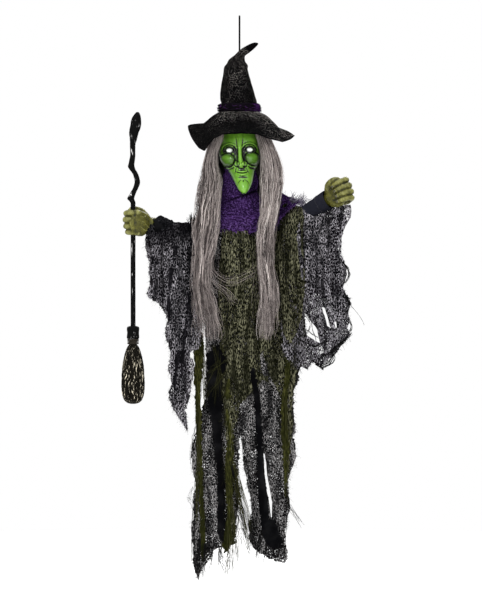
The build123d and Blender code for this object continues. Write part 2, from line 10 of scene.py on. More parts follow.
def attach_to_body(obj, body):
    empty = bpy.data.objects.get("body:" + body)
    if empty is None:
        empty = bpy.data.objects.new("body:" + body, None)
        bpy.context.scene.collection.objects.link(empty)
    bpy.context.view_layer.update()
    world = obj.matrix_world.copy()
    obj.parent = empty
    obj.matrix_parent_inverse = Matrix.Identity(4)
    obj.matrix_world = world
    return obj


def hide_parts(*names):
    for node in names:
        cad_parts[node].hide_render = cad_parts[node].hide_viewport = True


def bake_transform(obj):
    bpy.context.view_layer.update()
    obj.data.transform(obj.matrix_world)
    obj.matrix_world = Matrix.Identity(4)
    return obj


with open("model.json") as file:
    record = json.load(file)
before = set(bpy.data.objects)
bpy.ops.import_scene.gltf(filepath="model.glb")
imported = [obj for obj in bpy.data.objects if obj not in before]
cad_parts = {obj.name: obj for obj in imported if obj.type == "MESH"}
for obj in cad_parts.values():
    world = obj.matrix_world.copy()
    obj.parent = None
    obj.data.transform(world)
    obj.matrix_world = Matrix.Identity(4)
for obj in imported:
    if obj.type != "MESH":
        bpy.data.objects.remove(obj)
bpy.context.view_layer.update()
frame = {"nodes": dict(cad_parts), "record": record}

MM = 0.001
TAU = 2 * math.pi


# ---------------------------------------------------------------- noise
def _hash(ix, iy, iz, seed):
    h = (ix * 374761393 + iy * 668265263 + iz * 974634777 + seed * 1274126177) & 0xFFFFFFFF
    h = ((h ^ (h >> 13)) * 1103515245) & 0xFFFFFFFF
    h = ((h ^ (h >> 15)) * 668265263) & 0xFFFFFFFF
    return ((h ^ (h >> 16)) & 0xFFFFF) / 1048575.0


def vnoise(x, y, z=0.0, seed=0):
    """Smooth value noise from -1 to 1."""
    x, y, z = np.broadcast_arrays(np.asarray(x, float), np.asarray(y, float), np.asarray(z, float))
    ix, iy, iz = (np.floor(a).astype(np.int64) for a in (x, y, z))
    f = [a - b for a, b in ((x, ix), (y, iy), (z, iz))]
    w = [t * t * t * (t * (t * 6 - 15) + 10) for t in f]
    total = 0
    for dx in (0, 1):
        for dy in (0, 1):
            for dz in (0, 1):
                k = (w[0] if dx else 1 - w[0]) * (w[1] if dy else 1 - w[1]) * (w[2] if dz else 1 - w[2])
                total = total + k * _hash(ix + dx, iy + dy, iz + dz, seed)
    return total * 2 - 1


def fbm(x, y, z=0.0, seed=0, octaves=3):
    total, a, s = 0, 1.0, 0.0
    for o in range(octaves):
        total = total + a * vnoise(np.asarray(x) * 2 ** o, np.asarray(y) * 2 ** o, np.asarray(z) * 2 ** o, seed + 17 * o)
        s += a
        a *= 0.5
    return total / s


def sstep(a, b, x):
    t = np.clip((np.asarray(x, float) - a) / (b - a), 0, 1)
    return t * t * (3 - 2 * t)


def bump1(x, c, w):
    return np.exp(-((np.asarray(x, float) - c) / w) ** 2)


def lerp(x, table, col=1):
    rows = sorted(table)
    return np.interp(x, [r[0] for r in rows], [r[col] for r in rows])


# ---------------------------------------------------------------- meshes
def make(name, verts, faces, mat, smooth=True, attrs=None, mat_index=None):
    """A mesh object from points in millimetres and one or more arrays of faces."""
    blocks = [np.asarray(b, np.int64) for b in (faces if isinstance(faces, list) else [faces]) if len(b)]
    me = bpy.data.meshes.new(name)
    v = np.asarray(verts, float).reshape(-1, 3) * MM
    me.vertices.add(len(v))
    me.vertices.foreach_set("co", v.astype(np.float32).ravel())
    loops = np.concatenate([b.ravel() for b in blocks])
    sizes = np.concatenate([np.full(len(b), b.shape[1]) for b in blocks])
    me.loops.add(len(loops))
    me.loops.foreach_set("vertex_index", loops.astype(np.int32))
    me.polygons.add(len(sizes))
    me.polygons.foreach_set("loop_start", (np.cumsum(sizes) - sizes).astype(np.int32))
    me.update(calc_edges=True)
    me.validate()
    me.polygons.foreach_set("use_smooth", np.full(len(me.polygons), smooth))
    for key, val in (attrs or {}).items():
        val = np.asarray(val, np.float32)
        if val.ndim == 1:
            me.attributes.new(key, "FLOAT", "POINT").data.foreach_set("value", val)
        else:
            me.attributes.new(key, "FLOAT_VECTOR", "POINT").data.foreach_set("vector", val.ravel())
    o = bpy.data.objects.new(name, me)
    bpy.context.scene.collection.objects.link(o)
    for m in (mat if isinstance(mat, (list, tuple)) else [mat]):
        me.materials.append(m)
    if mat_index is not None:
        me.polygons.foreach_set("material_index", np.asarray(mat_index, np.int32))
    return o


def quads(n, m, closed=False, flip=False):
    """Faces of a grid of n rows and m columns, its columns joined round if closed."""
    i, j = np.meshgrid(np.arange(n - 1), np.arange(m if closed else m - 1), indexing="ij")
    k = (j + 1) % m
    f = np.stack([i * m + j, i * m + k, (i + 1) * m + k, (i + 1) * m + j], -1).reshape(-1, 4)
    return f[:, ::-1] if flip else f


def tubes(P, R, sides=4, ref=(0.13, 1.0, 0.21)):
    """Points and faces of many round strands. P is strands x points x 3 and R is strands x points."""
    P, R = np.asarray(P, float), np.asarray(R, float)
    S, N = P.shape[:2]
    T = np.gradient(P, axis=1)
    T /= np.linalg.norm(T, axis=2, keepdims=True) + 1e-9
    U = np.cross(T, np.asarray(ref, float))
    U /= np.linalg.norm(U, axis=2, keepdims=True) + 1e-9
    V = np.cross(T, U)
    a = np.arange(sides) * TAU / sides
    ring = U[:, :, None] * np.cos(a)[None, None, :, None] + V[:, :, None] * np.sin(a)[None, None, :, None]
    verts = (P[:, :, None] + ring * R[:, :, None, None]).reshape(-1, 3)
    base = (np.arange(S) * N * sides)[:, None, None]
    f = (quads(N, sides, closed=True)[None] + base).reshape(-1, 4)
    caps = np.concatenate([base[:, 0] + np.arange(sides)[None, ::-1], base[:, 0] + (N - 1) * sides + np.arange(sides)[None]])
    return verts, [f, caps]


def strands(name, P, R, mat, sides=4, tint=None, ref=(0.13, 1.0, 0.21)):
    P = np.array(P, float)
    P[..., 1] = np.maximum(P[..., 1], -169.0)
    v, f = tubes(P, R, sides, ref)
    S, N = P.shape[:2]
    t = np.zeros(S) if tint is None else np.asarray(tint)
    along = np.tile(np.linspace(0, 1, N), S)
    return make(name, v, f, mat, attrs={"tint": np.repeat(t, N * sides), "along": np.repeat(along, sides)})


def inside(px, py, poly):
    """Which points lie in a closed polygon."""
    poly = np.asarray(poly, float)
    x0, y0 = poly[:, 0], poly[:, 1]
    x1, y1 = np.roll(x0, -1), np.roll(y0, -1)
    hit = np.zeros(len(px), bool)
    for k in range(len(poly)):
        if y0[k] == y1[k]:
            continue
        c = (y0[k] > py) != (y1[k] > py)
        hit ^= c & (px < (x1[k] - x0[k]) * (py - y0[k]) / (y1[k] - y0[k]) + x0[k])
    return hit


def ragged(poly, step=4.0, amp=3.0, seed=1, spikes=0.0, smooth_from=None):
    """The polygon resampled at step and torn by noise. smooth_from is a height above which the edge stays cut clean."""
    rng = np.random.RandomState(seed)
    poly = np.asarray(poly, float)
    pts, nrm = [], []
    for a, b in zip(poly, np.roll(poly, -1, 0)):
        L = np.linalg.norm(b - a)
        n = max(1, int(round(L / step)))
        t = np.arange(n) / n
        pts.append(a + (b - a) * t[:, None])
        d = (b - a) / (L + 1e-9)
        nrm.append(np.repeat([[-d[1], d[0]]], n, 0))
    pts, nrm = np.concatenate(pts), np.concatenate(nrm)
    s = np.arange(len(pts)) * step
    d = fbm(s / 34.0, 0.5, seed=seed) * amp * 1.5 + vnoise(s / 7.0, 0.5, seed=seed + 5) * amp * 0.7
    d = d + spikes * (rng.rand(len(pts)) ** 7) * np.sign(rng.rand(len(pts)) - 0.5)
    if smooth_from is not None:
        d = d * (1 - sstep(smooth_from - 15, smooth_from, pts[:, 1]))
    return pts + nrm * d[:, None]


def pattern(poly, step=6.0, holes=(), seed=1):
    """A flat cut-out filled with triangles: its points, triangles and area."""
    rng = np.random.RandomState(seed + 91)
    poly = np.asarray(poly, float)
    lo, hi = poly.min(0), poly.max(0)
    gx, gy = np.meshgrid(np.arange(lo[0], hi[0], step), np.arange(lo[1], hi[1], step * 0.87))
    gx = gx + (np.arange(gx.shape[0]) % 2)[:, None] * step / 2
    g = np.stack([gx.ravel(), gy.ravel()], 1) + (rng.rand(gx.size, 2) - 0.5) * step * 0.35
    keep = inside(g[:, 0], g[:, 1], poly)
    for h in holes:
        keep &= ~inside(g[:, 0], g[:, 1], h)
    g = g[keep]
    rims = np.concatenate([poly] + [np.asarray(h, float) for h in holes])
    near = np.zeros(len(g), bool)
    for k in range(0, len(g), 4000):
        d2 = ((g[k:k + 4000, None] - rims[None]) ** 2).sum(2).min(1)
        near[k:k + 4000] = d2 < (0.45 * step) ** 2
    g = g[~near]
    edges, o = [], 0
    for loop in [poly] + list(holes):
        n = len(loop)
        edges += [(o + i, o + (i + 1) % n) for i in range(n)]
        o += n
    allp = np.concatenate([rims, g])
    r = geometry.delaunay_2d_cdt([Vector(p) for p in allp.tolist()], edges, [], 0, 1e-4)
    pts = np.array([list(v) for v in r[0]])
    tris = np.array([f for f in r[2] if len(f) == 3])
    c = pts[tris].mean(1)
    ok = inside(c[:, 0], c[:, 1], poly)
    for h in holes:
        ok &= ~inside(c[:, 0], c[:, 1], h)
    tris = tris[ok]
    a, b, d = pts[tris[:, 0]], pts[tris[:, 1]], pts[tris[:, 2]]
    cr = (b[:, 0] - a[:, 0]) * (d[:, 1] - a[:, 1]) - (b[:, 1] - a[:, 1]) * (d[:, 0] - a[:, 0])
    tris[cr < 0] = tris[cr < 0][:, ::-1]
    used = np.unique(tris)
    remap = -np.ones(len(pts), int)
    remap[used] = np.arange(len(used))
    return pts[used], remap[tris], float(np.abs(cr).sum() / 2)


# ---------------------------------------------------------------- materials
class Mat:
    """A node material with short helpers. Coordinates are the object's own, in metres."""

    def __init__(self, name):
        self.m = bpy.data.materials.new(name)
        self.m.use_nodes = True
        self.t = self.m.node_tree
        self.b = self.t.nodes["Principled BSDF"]
        self.out = self.t.nodes["Material Output"]
        self.obj = self.new("ShaderNodeTexCoord").outputs["Object"]

    def new(self, kind, **props):
        n = self.t.nodes.new(kind)
        for k, v in props.items():
            setattr(n, k, v)
        return n

    def put(self, sock, v):
        if isinstance(v, bpy.types.NodeSocket):
            self.t.links.new(v, sock)
        elif v is not None:
            sock.default_value = v

    def set(self, **kw):
        for k, v in kw.items():
            self.put(self.b.inputs[k.replace("_", " ")], v)
        return self

    def scaled(self, scale, src=None):
        n = self.new("ShaderNodeMapping")
        self.put(n.inputs["Vector"], src or self.obj)
        n.inputs["Scale"].default_value = scale
        return n.outputs["Vector"]

    def noise(self, scale, detail=3.0, rough=0.55, src=None, distort=0.0, col=False):
        n = self.new("ShaderNodeTexNoise")
        self.put(n.inputs["Vector"], src or self.obj)
        n.inputs["Scale"].default_value = scale
        n.inputs["Detail"].default_value = detail
        n.inputs["Roughness"].default_value = rough
        n.inputs["Distortion"].default_value = distort
        return n.outputs["Color" if col else "Fac"]

    def voronoi(self, scale, feature="F1", src=None, rand=1.0, dims="3D", out="Distance"):
        n = self.new("ShaderNodeTexVoronoi", feature=feature, voronoi_dimensions=dims)
        self.put(n.inputs["Vector"], src or self.obj)
        n.inputs["Scale"].default_value = scale
        n.inputs["Randomness"].default_value = rand
        return n.outputs[out]

    def wave(self, scale, direction="Z", distort=0.0, src=None, detail_scale=1.0, kind="BANDS"):
        n = self.new("ShaderNodeTexWave", wave_type=kind)
        if kind == "BANDS":
            n.bands_direction = direction
        self.put(n.inputs["Vector"], src or self.obj)
        n.inputs["Scale"].default_value = scale
        n.inputs["Distortion"].default_value = distort
        n.inputs["Detail Scale"].default_value = detail_scale
        return n.outputs["Fac"]

    def math(self, op, a, b=0.0, clamp=False):
        n = self.new("ShaderNodeMath", operation=op, use_clamp=clamp)
        self.put(n.inputs[0], a)
        self.put(n.inputs[1], b)
        return n.outputs[0]

    def mapr(self, v, a, b, c=0.0, d=1.0, smooth=False):
        n = self.new("ShaderNodeMapRange", interpolation_type="SMOOTHSTEP" if smooth else "LINEAR")
        for k, x in enumerate((v, a, b, c, d)):
            self.put(n.inputs[k], x)
        return n.outputs[0]

    def ramp(self, fac, *stops):
        n = self.new("ShaderNodeValToRGB")
        self.put(n.inputs["Fac"], fac)
        e = n.color_ramp.elements
        while len(e) < len(stops):
            e.new(0.5)
        for el, (p, c) in zip(e, stops):
            el.position = p
            el.color = (*c, 1) if len(c) == 3 else c
        return n.outputs["Color"]

    def mix(self, fac, a, b, mode="MIX"):
        n = self.new("ShaderNodeMix", data_type="RGBA", blend_type=mode)
        self.put(n.inputs[0], fac)
        for k, v in ((6, a), (7, b)):
            self.put(n.inputs[k], (*v, 1) if isinstance(v, tuple) and len(v) == 3 else v)
        return n.outputs[2]

    def attr(self, name, out="Fac"):
        n = self.new("ShaderNodeAttribute", attribute_name=name)
        return n.outputs[out]

    def bump(self, height, strength=0.4, dist=0.001):
        n = self.new("ShaderNodeBump")
        self.put(n.inputs["Height"], height)
        n.inputs["Strength"].default_value = strength
        n.inputs["Distance"].default_value = dist
        old = self.b.inputs["Normal"]
        if old.is_linked:
            self.t.links.new(old.links[0].from_socket, n.inputs["Normal"])
        self.put(old, n.outputs["Normal"])
        return n.outputs["Normal"]


def plastic(name, base, rough=(0.38, 0.55), grain=900.0, wear=0.0, spec=0.5):
    m = Mat(name)
    n = m.noise(grain, 4)
    big = m.noise(14, 4)
    dark = tuple(c * 0.72 for c in base)
    light = tuple(min(1, c * 1.25 + 0.01) for c in base)
    m.set(Base_Color=m.ramp(big, (0.3, dark), (0.5, base), (0.75, light)), Roughness=m.mapr(m.noise(60, 3), 0.3, 0.7, *rough), Specular_IOR_Level=spec)
    m.bump(n, 0.12, 0.0003)
    return m.m


def metal(name, base, rough=(0.22, 0.42)):
    m = Mat(name)
    s = m.noise(1.0, 3, src=m.scaled((900, 900, 30)))
    m.set(Base_Color=m.ramp(s, (0.3, tuple(c * 0.8 for c in base)), (0.7, base)), Roughness=m.mapr(s, 0.3, 0.7, *rough), Metallic=1.0)
    m.bump(s, 0.08, 0.0002)
    return m.m


def cloth_mat(name, base, weave=1400.0, sheen=0.25, rough=0.9, vary=0.35, fleck=None, coord=None):
    """Plain woven cloth: crossed threads, slubs and a dusty variation."""
    m = Mat(name)
    src = m.attr("wv", "Vector") if coord == "wv" else m.obj
    wx = m.wave(weave / TAU, "X", 1.5, src)
    wz = m.wave(weave / TAU, "Y" if coord == "wv" else "Z", 1.5, src)
    w = m.math("MULTIPLY", wx, wz)
    big = m.noise(18, 4, src=src)
    c = m.ramp(big, (0.3, tuple(x * (1 - vary) for x in base)), (0.5, base), (0.72, tuple(min(1, x * (1 + vary) + 0.004) for x in base)))
    if fleck:
        f = m.mapr(m.noise(520, 2, src=src), 0.62, 0.72)
        c = m.mix(f, c, fleck)
    m.set(Base_Color=c, Roughness=m.mapr(m.noise(90, 2, src=src), 0.3, 0.7, rough - 0.1, min(1, rough + 0.05)), Sheen_Weight=sheen * 0.08, Sheen_Roughness=0.45, Specular_IOR_Level=0.0)
    m.bump(w, 0.35, 0.0004)
    m.bump(m.noise(140, 3, src=src), 0.25, 0.0012)
    return m.m


def gauze_mat(name, dark, light, cell=6.2, thread=0.30, seed=0.0, open_at=(0.56, 0.74), stretch=1.5, highlight_share=0.5, closed=0.0):
    """Open net cloth with painted highlight on its threads. Its holes come from the threads' own pattern, stored on the
    mesh as wv, in metres.
    """
    m = Mat(name)
    wv = m.attr("wv", "Vector")
    shift = m.new("ShaderNodeMapping")
    m.put(shift.inputs["Vector"], wv)
    shift.inputs["Location"].default_value = (seed, seed * 0.37, 0)
    shift.inputs["Scale"].default_value = (1, 1 / stretch, 1)
    p = shift.outputs["Vector"]
    warp = m.new("ShaderNodeVectorMath", operation="SCALE")
    m.put(warp.inputs[0], m.noise(95, 2, src=p, col=True))
    warp.inputs["Scale"].default_value = 0.010
    add = m.new("ShaderNodeVectorMath", operation="ADD")
    m.put(add.inputs[0], p)
    m.put(add.inputs[1], warp.outputs[0])
    net = m.voronoi(1000.0 / cell, "DISTANCE_TO_EDGE", add.outputs[0], 0.85, "2D")
    fine = m.voronoi(1000.0 / (cell * 0.42), "DISTANCE_TO_EDGE", add.outputs[0], 0.9, "2D")
    dens = m.noise(30, 4, 0.6, src=p)
    big = m.noise(9, 3, 0.6, src=p)
    thick = m.mapr(dens, 0.30, 0.72, thread * 1.35, thread * 0.28)
    thick = m.math("MULTIPLY", thick, m.mapr(big, open_at[0], open_at[1], 1.0, 0.35))
    thick = m.math("ADD", m.math("ADD", thick, closed), m.math("MULTIPLY", m.attr("rim"), 0.22))
    a1 = m.math("LESS_THAN", net, thick)
    a2 = m.math("LESS_THAN", fine, m.math("MULTIPLY", thick, m.mapr(m.noise(46, 3, src=p), 0.42, 0.62, 0.0, 0.95)))
    alpha = m.math("MAXIMUM", a1, a2)
    # hl is painted highlight: the light thread colour laid in stretched patches, scaled by the lit attribute and kept
    # to the thin threads
    hl = m.math("MULTIPLY", m.mapr(m.noise(1.0, 2, 0.6, src=m.scaled((430, 170, 1), p)), 0.46, 0.56), m.mapr(m.noise(1.0, 3, 0.6, src=m.scaled((52, 15, 1), p)), 0.40, 0.60, 0.10, 1.0))
    hl = m.math("MULTIPLY", hl, m.attr("lit"))
    hl = m.math("MULTIPLY", hl, m.math("LESS_THAN", net, m.math("MULTIPLY", thick, 0.62)))
    c = m.mix(m.math("MULTIPLY", hl, highlight_share), dark, light)
    m.set(Base_Color=c, Roughness=m.mapr(dens, 0.3, 0.7, 0.85, 1.0), Alpha=alpha, Specular_IOR_Level=0.0)
    m.bump(m.math("SUBTRACT", thick, net), 0.6, 0.0012)
    m.m.surface_render_method = "DITHERED"
    return m.m


def thread_mat(name, dark, light, sheen=0.2, rough=0.8):
    m = Mat(name)
    t = m.attr("tint")
    n = m.noise(1.0, 3, src=m.scaled((700, 700, 160)))
    c = m.ramp(m.math("ADD", m.math("MULTIPLY", t, 0.75), m.math("MULTIPLY", n, 0.25)), (0.08, dark), (0.9, light))
    m.set(Base_Color=c, Roughness=m.mapr(n, 0.3, 0.7, rough - 0.1, rough + 0.1), Specular_IOR_Level=0.0)
    m.bump(m.wave(420, "Z", 2.0), 0.3, 0.0003)
    return m.m


# ---------------------------------------------------------------- camera, lights, stage
scene = bpy.context.scene
cam_data = bpy.data.cameras.new("camera")
cam = bpy.data.objects.new("camera", cam_data)
scene.collection.objects.link(cam)
CAM_D, FRAME_H = 9.0, 1.674
cam_data.sensor_width = 36
cam_data.lens = 36 * CAM_D / FRAME_H
cam.location = (0.0042, -CAM_D - 0.09, -0.798)
cam.rotation_euler = (math.pi / 2, 0, 0)
cam_data.clip_start, cam_data.clip_end = 0.5, 100
scene.camera = cam

world = bpy.data.worlds.new("world")
scene.world = world
world.use_nodes = True
world.node_tree.nodes["Background"].inputs["Color"].default_value = (1, 1, 1, 1)
world.node_tree.nodes["Background"].inputs["Strength"].default_value = 1.0
scene.view_settings.view_transform = "Standard"
scene.view_settings.look = "None"


def area(name, loc, target, size, power):
    d = bpy.data.lights.new(name, "AREA")
    d.shape, d.size, d.energy = "DISK", size, power
    o = bpy.data.objects.new(name, d)
    o.location = loc
    o.rotation_euler = (Vector(target) - Vector(loc)).to_track_quat("-Z", "Y").to_euler()
    scene.collection.objects.link(o)
    return o


area("key", (-1.3, -3.4, 1.3), (0, 0, -0.55), 0.9, 85)
area("spark", (0.35, -3.4, 0.1), (0, 0, -0.4), 0.16, 14)
area("fill", (2.6, -3.0, -0.4), (0, 0, -0.8), 1.6, 22)
area("rim", (1.2, 2.6, 1.4), (0, 0, -0.7), 1.2, 60)
area("top", (-0.4, 0.2, 3.0), (0, 0, -1.0), 2.4, 90)

rings, spokes = 24, 96
Rg, Qg = np.meshgrid(np.linspace(20, 3000, rings), np.arange(spokes) * TAU / spokes, indexing="ij")
V = np.stack([Rg * np.cos(Qg), 300 + Rg * np.sin(Qg), -1680 + 0 * Rg], -1).reshape(-1, 3)
V = np.concatenate([V, [[0, 300, -1680]]])
j = np.arange(spokes)
m = Mat("studio_floor")
m.set(Base_Color=m.ramp(m.noise(2.0, 3), (0.35, (0.95, 0.95, 0.95)), (0.65, (0.97, 0.97, 0.97))), Roughness=m.mapr(m.noise(3.0, 2), 0.3, 0.7, 0.9, 1.0), Specular_IOR_Level=0.0)
floor = make("studio_floor", V, [quads(rings, spokes, closed=True), np.stack([(j + 1) % spokes, j, np.full(spokes, rings * spokes)], 1)], m.m)

# ---------------------------------------------------------------- hanging cord
route = [(0, -2.3, -226), (0, -5.45, -19), (0, -5.75, 1.75), (0, 5.75, 1.75), (0, 5.45, -19), (0, 2.3, -226)]
cd = bpy.data.curves.new("hanging_cord", "CURVE")
cd.dimensions = "3D"
sp = cd.splines.new("NURBS")
sp.points.add(len(route) - 1)
for p, q in zip(sp.points, route):
    p.co = (q[0] * MM, q[1] * MM, q[2] * MM, 1)
sp.order_u = 3
sp.use_endpoint_u = True
sp.resolution_u = 16
cd.bevel_depth = 0.0025
cd.bevel_resolution = 4
cd.use_fill_caps = True
m = Mat("cord_braid")
br = m.wave(260, "DIAGONAL", 0.4)
m.set(Base_Color=m.ramp(br, (0.2, (0.001, 0.001, 0.001)), (0.8, (0.008, 0.008, 0.009))), Roughness=m.mapr(br, 0, 1, 0.8, 0.95), Specular_IOR_Level=0.0)
m.bump(br, 0.8, 0.0006)
cd.materials.append(m.m)
cord = bpy.data.objects.new("hanging_cord", cd)
scene.collection.objects.link(cord)
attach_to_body(cord, "torso")
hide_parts("hanging_loop")

# ---------------------------------------------------------------- materials of the working parts
def board_mat():
    m = Mat("circuit_board_green")
    tr = m.wave(300, "X", 6.0)
    m.set(Base_Color=m.ramp(tr, (0.1, (0.012, 0.09, 0.03)), (0.5, (0.02, 0.14, 0.05)), (0.9, (0.05, 0.22, 0.08))), Roughness=m.mapr(m.noise(300, 2), 0.3, 0.7, 0.3, 0.5))
    m.bump(tr, 0.3, 0.0002)
    return m.m


def wrap_mat(name, base, band):
    m = Mat(name)
    w = m.wave(90, "Z", 0.4)
    m.set(Base_Color=m.ramp(w, (0.45, base), (0.55, band)), Roughness=m.mapr(m.noise(200, 2), 0.3, 0.7, 0.25, 0.45))
    m.bump(m.noise(500, 3), 0.15, 0.0003)
    return m.m


SLOT_MATS = {
    "housing_black": plastic("housing_black_plastic", (0.022, 0.022, 0.024)),
    "steel": metal("steel_brushed", (0.56, 0.56, 0.55)),
    "brass_contact": metal("brass_plate", (0.75, 0.58, 0.30)),
    "cord_black": plastic("cord_black_nylon", (0.015, 0.015, 0.016), (0.6, 0.8), 1600),
    "mask_green": plastic("mask_inner_green", (0.06, 0.16, 0.03)),
    "head_black": cloth_mat("head_lining", (0.014, 0.013, 0.015)),
    "eye_white": plastic("eye_white_plastic", (0.75, 0.78, 0.74), (0.2, 0.35)),
    "board_green": board_mat(),
    "nylon_white": plastic("nylon_white_plastic", (0.66, 0.65, 0.61), (0.3, 0.5)),
    "hat_black": cloth_mat("hat_lining", (0.013, 0.013, 0.015)),
    "hat_band_purple": cloth_mat("band_lining", (0.045, 0.015, 0.07)),
    "hair_grey": thread_mat("hair_lining", (0.12, 0.11, 0.11), (0.4, 0.38, 0.38)),
    "cowl_purple": cloth_mat("cowl_lining", (0.030, 0.014, 0.040)),
    "gauze_black": cloth_mat("gauze_lining", (0.010, 0.010, 0.011)),
    "gauze_olive": cloth_mat("olive_lining", (0.035, 0.034, 0.022)),
    "dress_black": cloth_mat("dress_lining", (0.007, 0.007, 0.008)),
    "sleeve_navy": cloth_mat("sleeve_lining", (0.016, 0.018, 0.026)),
    "hand_olive": plastic("hand_inner_olive", (0.07, 0.075, 0.025)),
    "broom_black": plastic("broom_inner_black", (0.012, 0.012, 0.012)),
    "brush_bronze": plastic("brush_inner_bronze", (0.06, 0.05, 0.035)),
    "battery_wrap": wrap_mat("battery_wrap_film", (0.02, 0.02, 0.022), (0.55, 0.42, 0.14)),
    "speaker_cone": plastic("speaker_cone_paper", (0.035, 0.033, 0.03), (0.7, 0.9), 500),
    "button_red": plastic("button_red_plastic", (0.5, 0.02, 0.015), (0.2, 0.35)),
    "sensor_dark": plastic("sensor_dark_glass", (0.012, 0.01, 0.014), (0.12, 0.25)),
}
for sub in frame["record"]["subparts"]:
    node = frame["nodes"][sub["node"]]
    node.data.materials.clear()
    node.data.materials.append(SLOT_MATS[sub["material_slot"]])

# ---------------------------------------------------------------- face mask
SEC = [(-230, 9, 12, -5), (-241, 22, 28, -5), (-262, 34, 40, -5), (-285, 43, 52, -5), (-310, 50, 64, -5), (-335, 54, 71, -5),
       (-360, 56.5, 75, -5), (-385, 58, 75, -5), (-403, 56.5, 71, -9), (-420, 48, 62, -18), (-436, 36, 50, -31), (-452, 30, 40, -43),
       (-468, 24.5, 30, -56), (-484, 17.5, 20.5, -70), (-494, 12.5, 13, -79), (-500, 8.5, 8, -84)]
SHIFT = [(-500, 12.5), (-484, 12), (-468, 11), (-452, 8.8), (-436, 5.6), (-420, 3), (-403, 1), (-385, 0), (-200, 0)]
nz, na = 236, 190
zz = np.linspace(-292, -501.5, nz)
zz = np.where(zz < -480, -480 - (zz + 480) * -1.0, zz)
w = lerp(zz, SEC, 1); d = lerp(zz, SEC, 2); yc = lerp(zz, SEC, 3); sh = lerp(zz, SHIFT, 1)


def soften(v, k=9):
    ker = np.hanning(k + 2)[1:-1]
    return np.convolve(np.pad(v, k // 2, mode="edge"), ker / ker.sum(), "valid")


w, d, yc, sh = (soften(v, 13) for v in (w, d, yc, sh))
tipk = np.sqrt(np.clip((zz + 503.0) / 14.0, 0.02, 1))
w, d = w * tipk ** 0.55, d * tipk ** 0.55
amax = np.radians(lerp(zz, [(-502, 100), (-470, 96), (-440, 92), (-405, 92), (-292, 95)]))
aa = np.linspace(-1, 1, na)[None, :] * amax[:, None]
Z = np.repeat(zz[:, None], na, 1)
X0 = w[:, None] * np.sin(aa)
X = X0
FX = X0.copy()
H = np.zeros_like(Z)


def g2(cx, cz, rx, rz, p=2.0):
    return np.exp(-(np.abs((FX - cx) / rx) ** p + np.abs((Z - cz) / rz) ** p))


H += 2.0 * np.exp(-(FX / 6.0) ** 2) * sstep(-372, -350, Z)                  # middle of the forehead
H += 3.0 * (g2(-30, -347, 17, 13) + g2(30, -347, 17, 13))
for s, ez in ((-1, -379.5), (1, -377.5)):
    ex = 28.5 * s
    dx, dz = FX - ex, Z - ez
    r = np.sqrt((dx / 1.22) ** 2 + dz ** 2)
    up = sstep(-5, 5, dz + 0.10 * s * dx)
    H += -8.0 * np.exp(-(np.sqrt((dx / 1.35) ** 2 + dz ** 2) / 13.5) ** 3.0)
    H += 3.4 * np.exp(-((r - 12.4) / 1.9) ** 2) * up
    H += 2.6 * np.exp(-((r - 18.0) / 2.3) ** 2) * up
    H += -2.4 * np.exp(-((r - 15.2) / 1.1) ** 2) * up
    H += 2.2 * np.exp(-((r - 12.5) / 2.0) ** 2) * (1 - up)
    e = (np.abs(dx / 13.2) ** 1.7 + np.abs((dz + 0.06 * dx * s) / 7.9) ** 1.7) ** (1 / 1.7)
    H += 4.2 * np.exp(-((e - 1.16) / 0.17) ** 2)
    H += -15.0 * (1 - sstep(0.80, 1.04, e))
    # round cheek with a sharp edge
    rho = np.sqrt(np.maximum(((FX - 36.5 * s) / 21.5) ** 2 + ((Z + 404.5 - 2.0 * s) / 18.0) ** 2 + 0.12 * s * (FX - 36.5 * s) * (Z + 404) / 380, 0))
    H += 12.5 * np.clip(1 - rho ** 2.3, 0, 1) ** 0.62
    H += -3.2 * np.exp(-((rho - 1.05) / 0.085) ** 2)
    H += 1.7 * np.exp(-((rho - 1.24) / 0.085) ** 2) * sstep(-400, -410, Z)
    H += -6.0 * g2(33 * s, -428, 12, 8)
    H += -2.4 * np.exp(-((FX - 6.5 * s - 0.12 * s * (Z + 372)) / 1.5) ** 2) * bump1(Z, -362, 12)
    H += 7.5 * np.clip(1 - ((FX - 10.8 * s) / 6.3) ** 2 - ((Z + 417) / 7.2) ** 2, 0, 1) ** 0.6
    H += -3.0 * np.exp(-((np.sqrt(((FX - 10.5 * s) / 1.0) ** 2 + ((Z + 417) / 1.1) ** 2) - 8.4) / 1.2) ** 2) * sstep(-408, -418, Z)
    H += -4.0 * g2(6.2 * s, -425.5, 2.6, 1.9)                                # nostrils
    H += -2.6 * np.exp(-((FX - s * (15.5 + 0.35 * (-432 - Z))) / 1.6) ** 2) * bump1(Z, -436, 8)
    H += -1.6 * g2(26 * s, -446, 5, 12)
p = lerp(zz, [(-434, 0), (-430, 3), (-427, 14), (-423, 24), (-418, 25), (-410, 21), (-398, 15), (-385, 10), (-374, 6), (-362, 1.5), (-352, 0), (-292, 0)])
pw = lerp(zz, [(-434, 4.2), (-428, 5.6), (-422, 7.6), (-416, 7.8), (-405, 6.2), (-392, 5.2), (-376, 5.0), (-362, 7)])
p, pw = soften(p, 5), soften(pw, 7)
H += p[:, None] * np.exp(-(np.abs(FX - 1.0) / pw[:, None]) ** 2.5)
H += 4.0 * g2(1.5, -420, 7.5, 6.5)
LX = FX
zl = -440.0 + 0.016 * LX ** 2
H += 4.0 * g2(0, -441, 19, 14)
H += 3.0 * np.exp(-((Z - zl) / 2.0) ** 2) * np.exp(-(LX / 12.0) ** 4)
H += 4.2 * np.exp(-((Z - zl + 7.4) / 2.6) ** 2) * np.exp(-(LX / 10.5) ** 4)
H += -5.5 * np.exp(-((Z - zl + 3.5) / 1.25) ** 2) * np.exp(-(LX / 15.5) ** 6)
H += -1.5 * g2(0, -433, 2.2, 4.0)
H += -2.6 * g2(0, -455.5, 11, 3.0)
H += 5.0 * np.clip(1 - (LX / 16) ** 2 - ((Z + 481) / 19) ** 2, 0, 1) ** 0.7
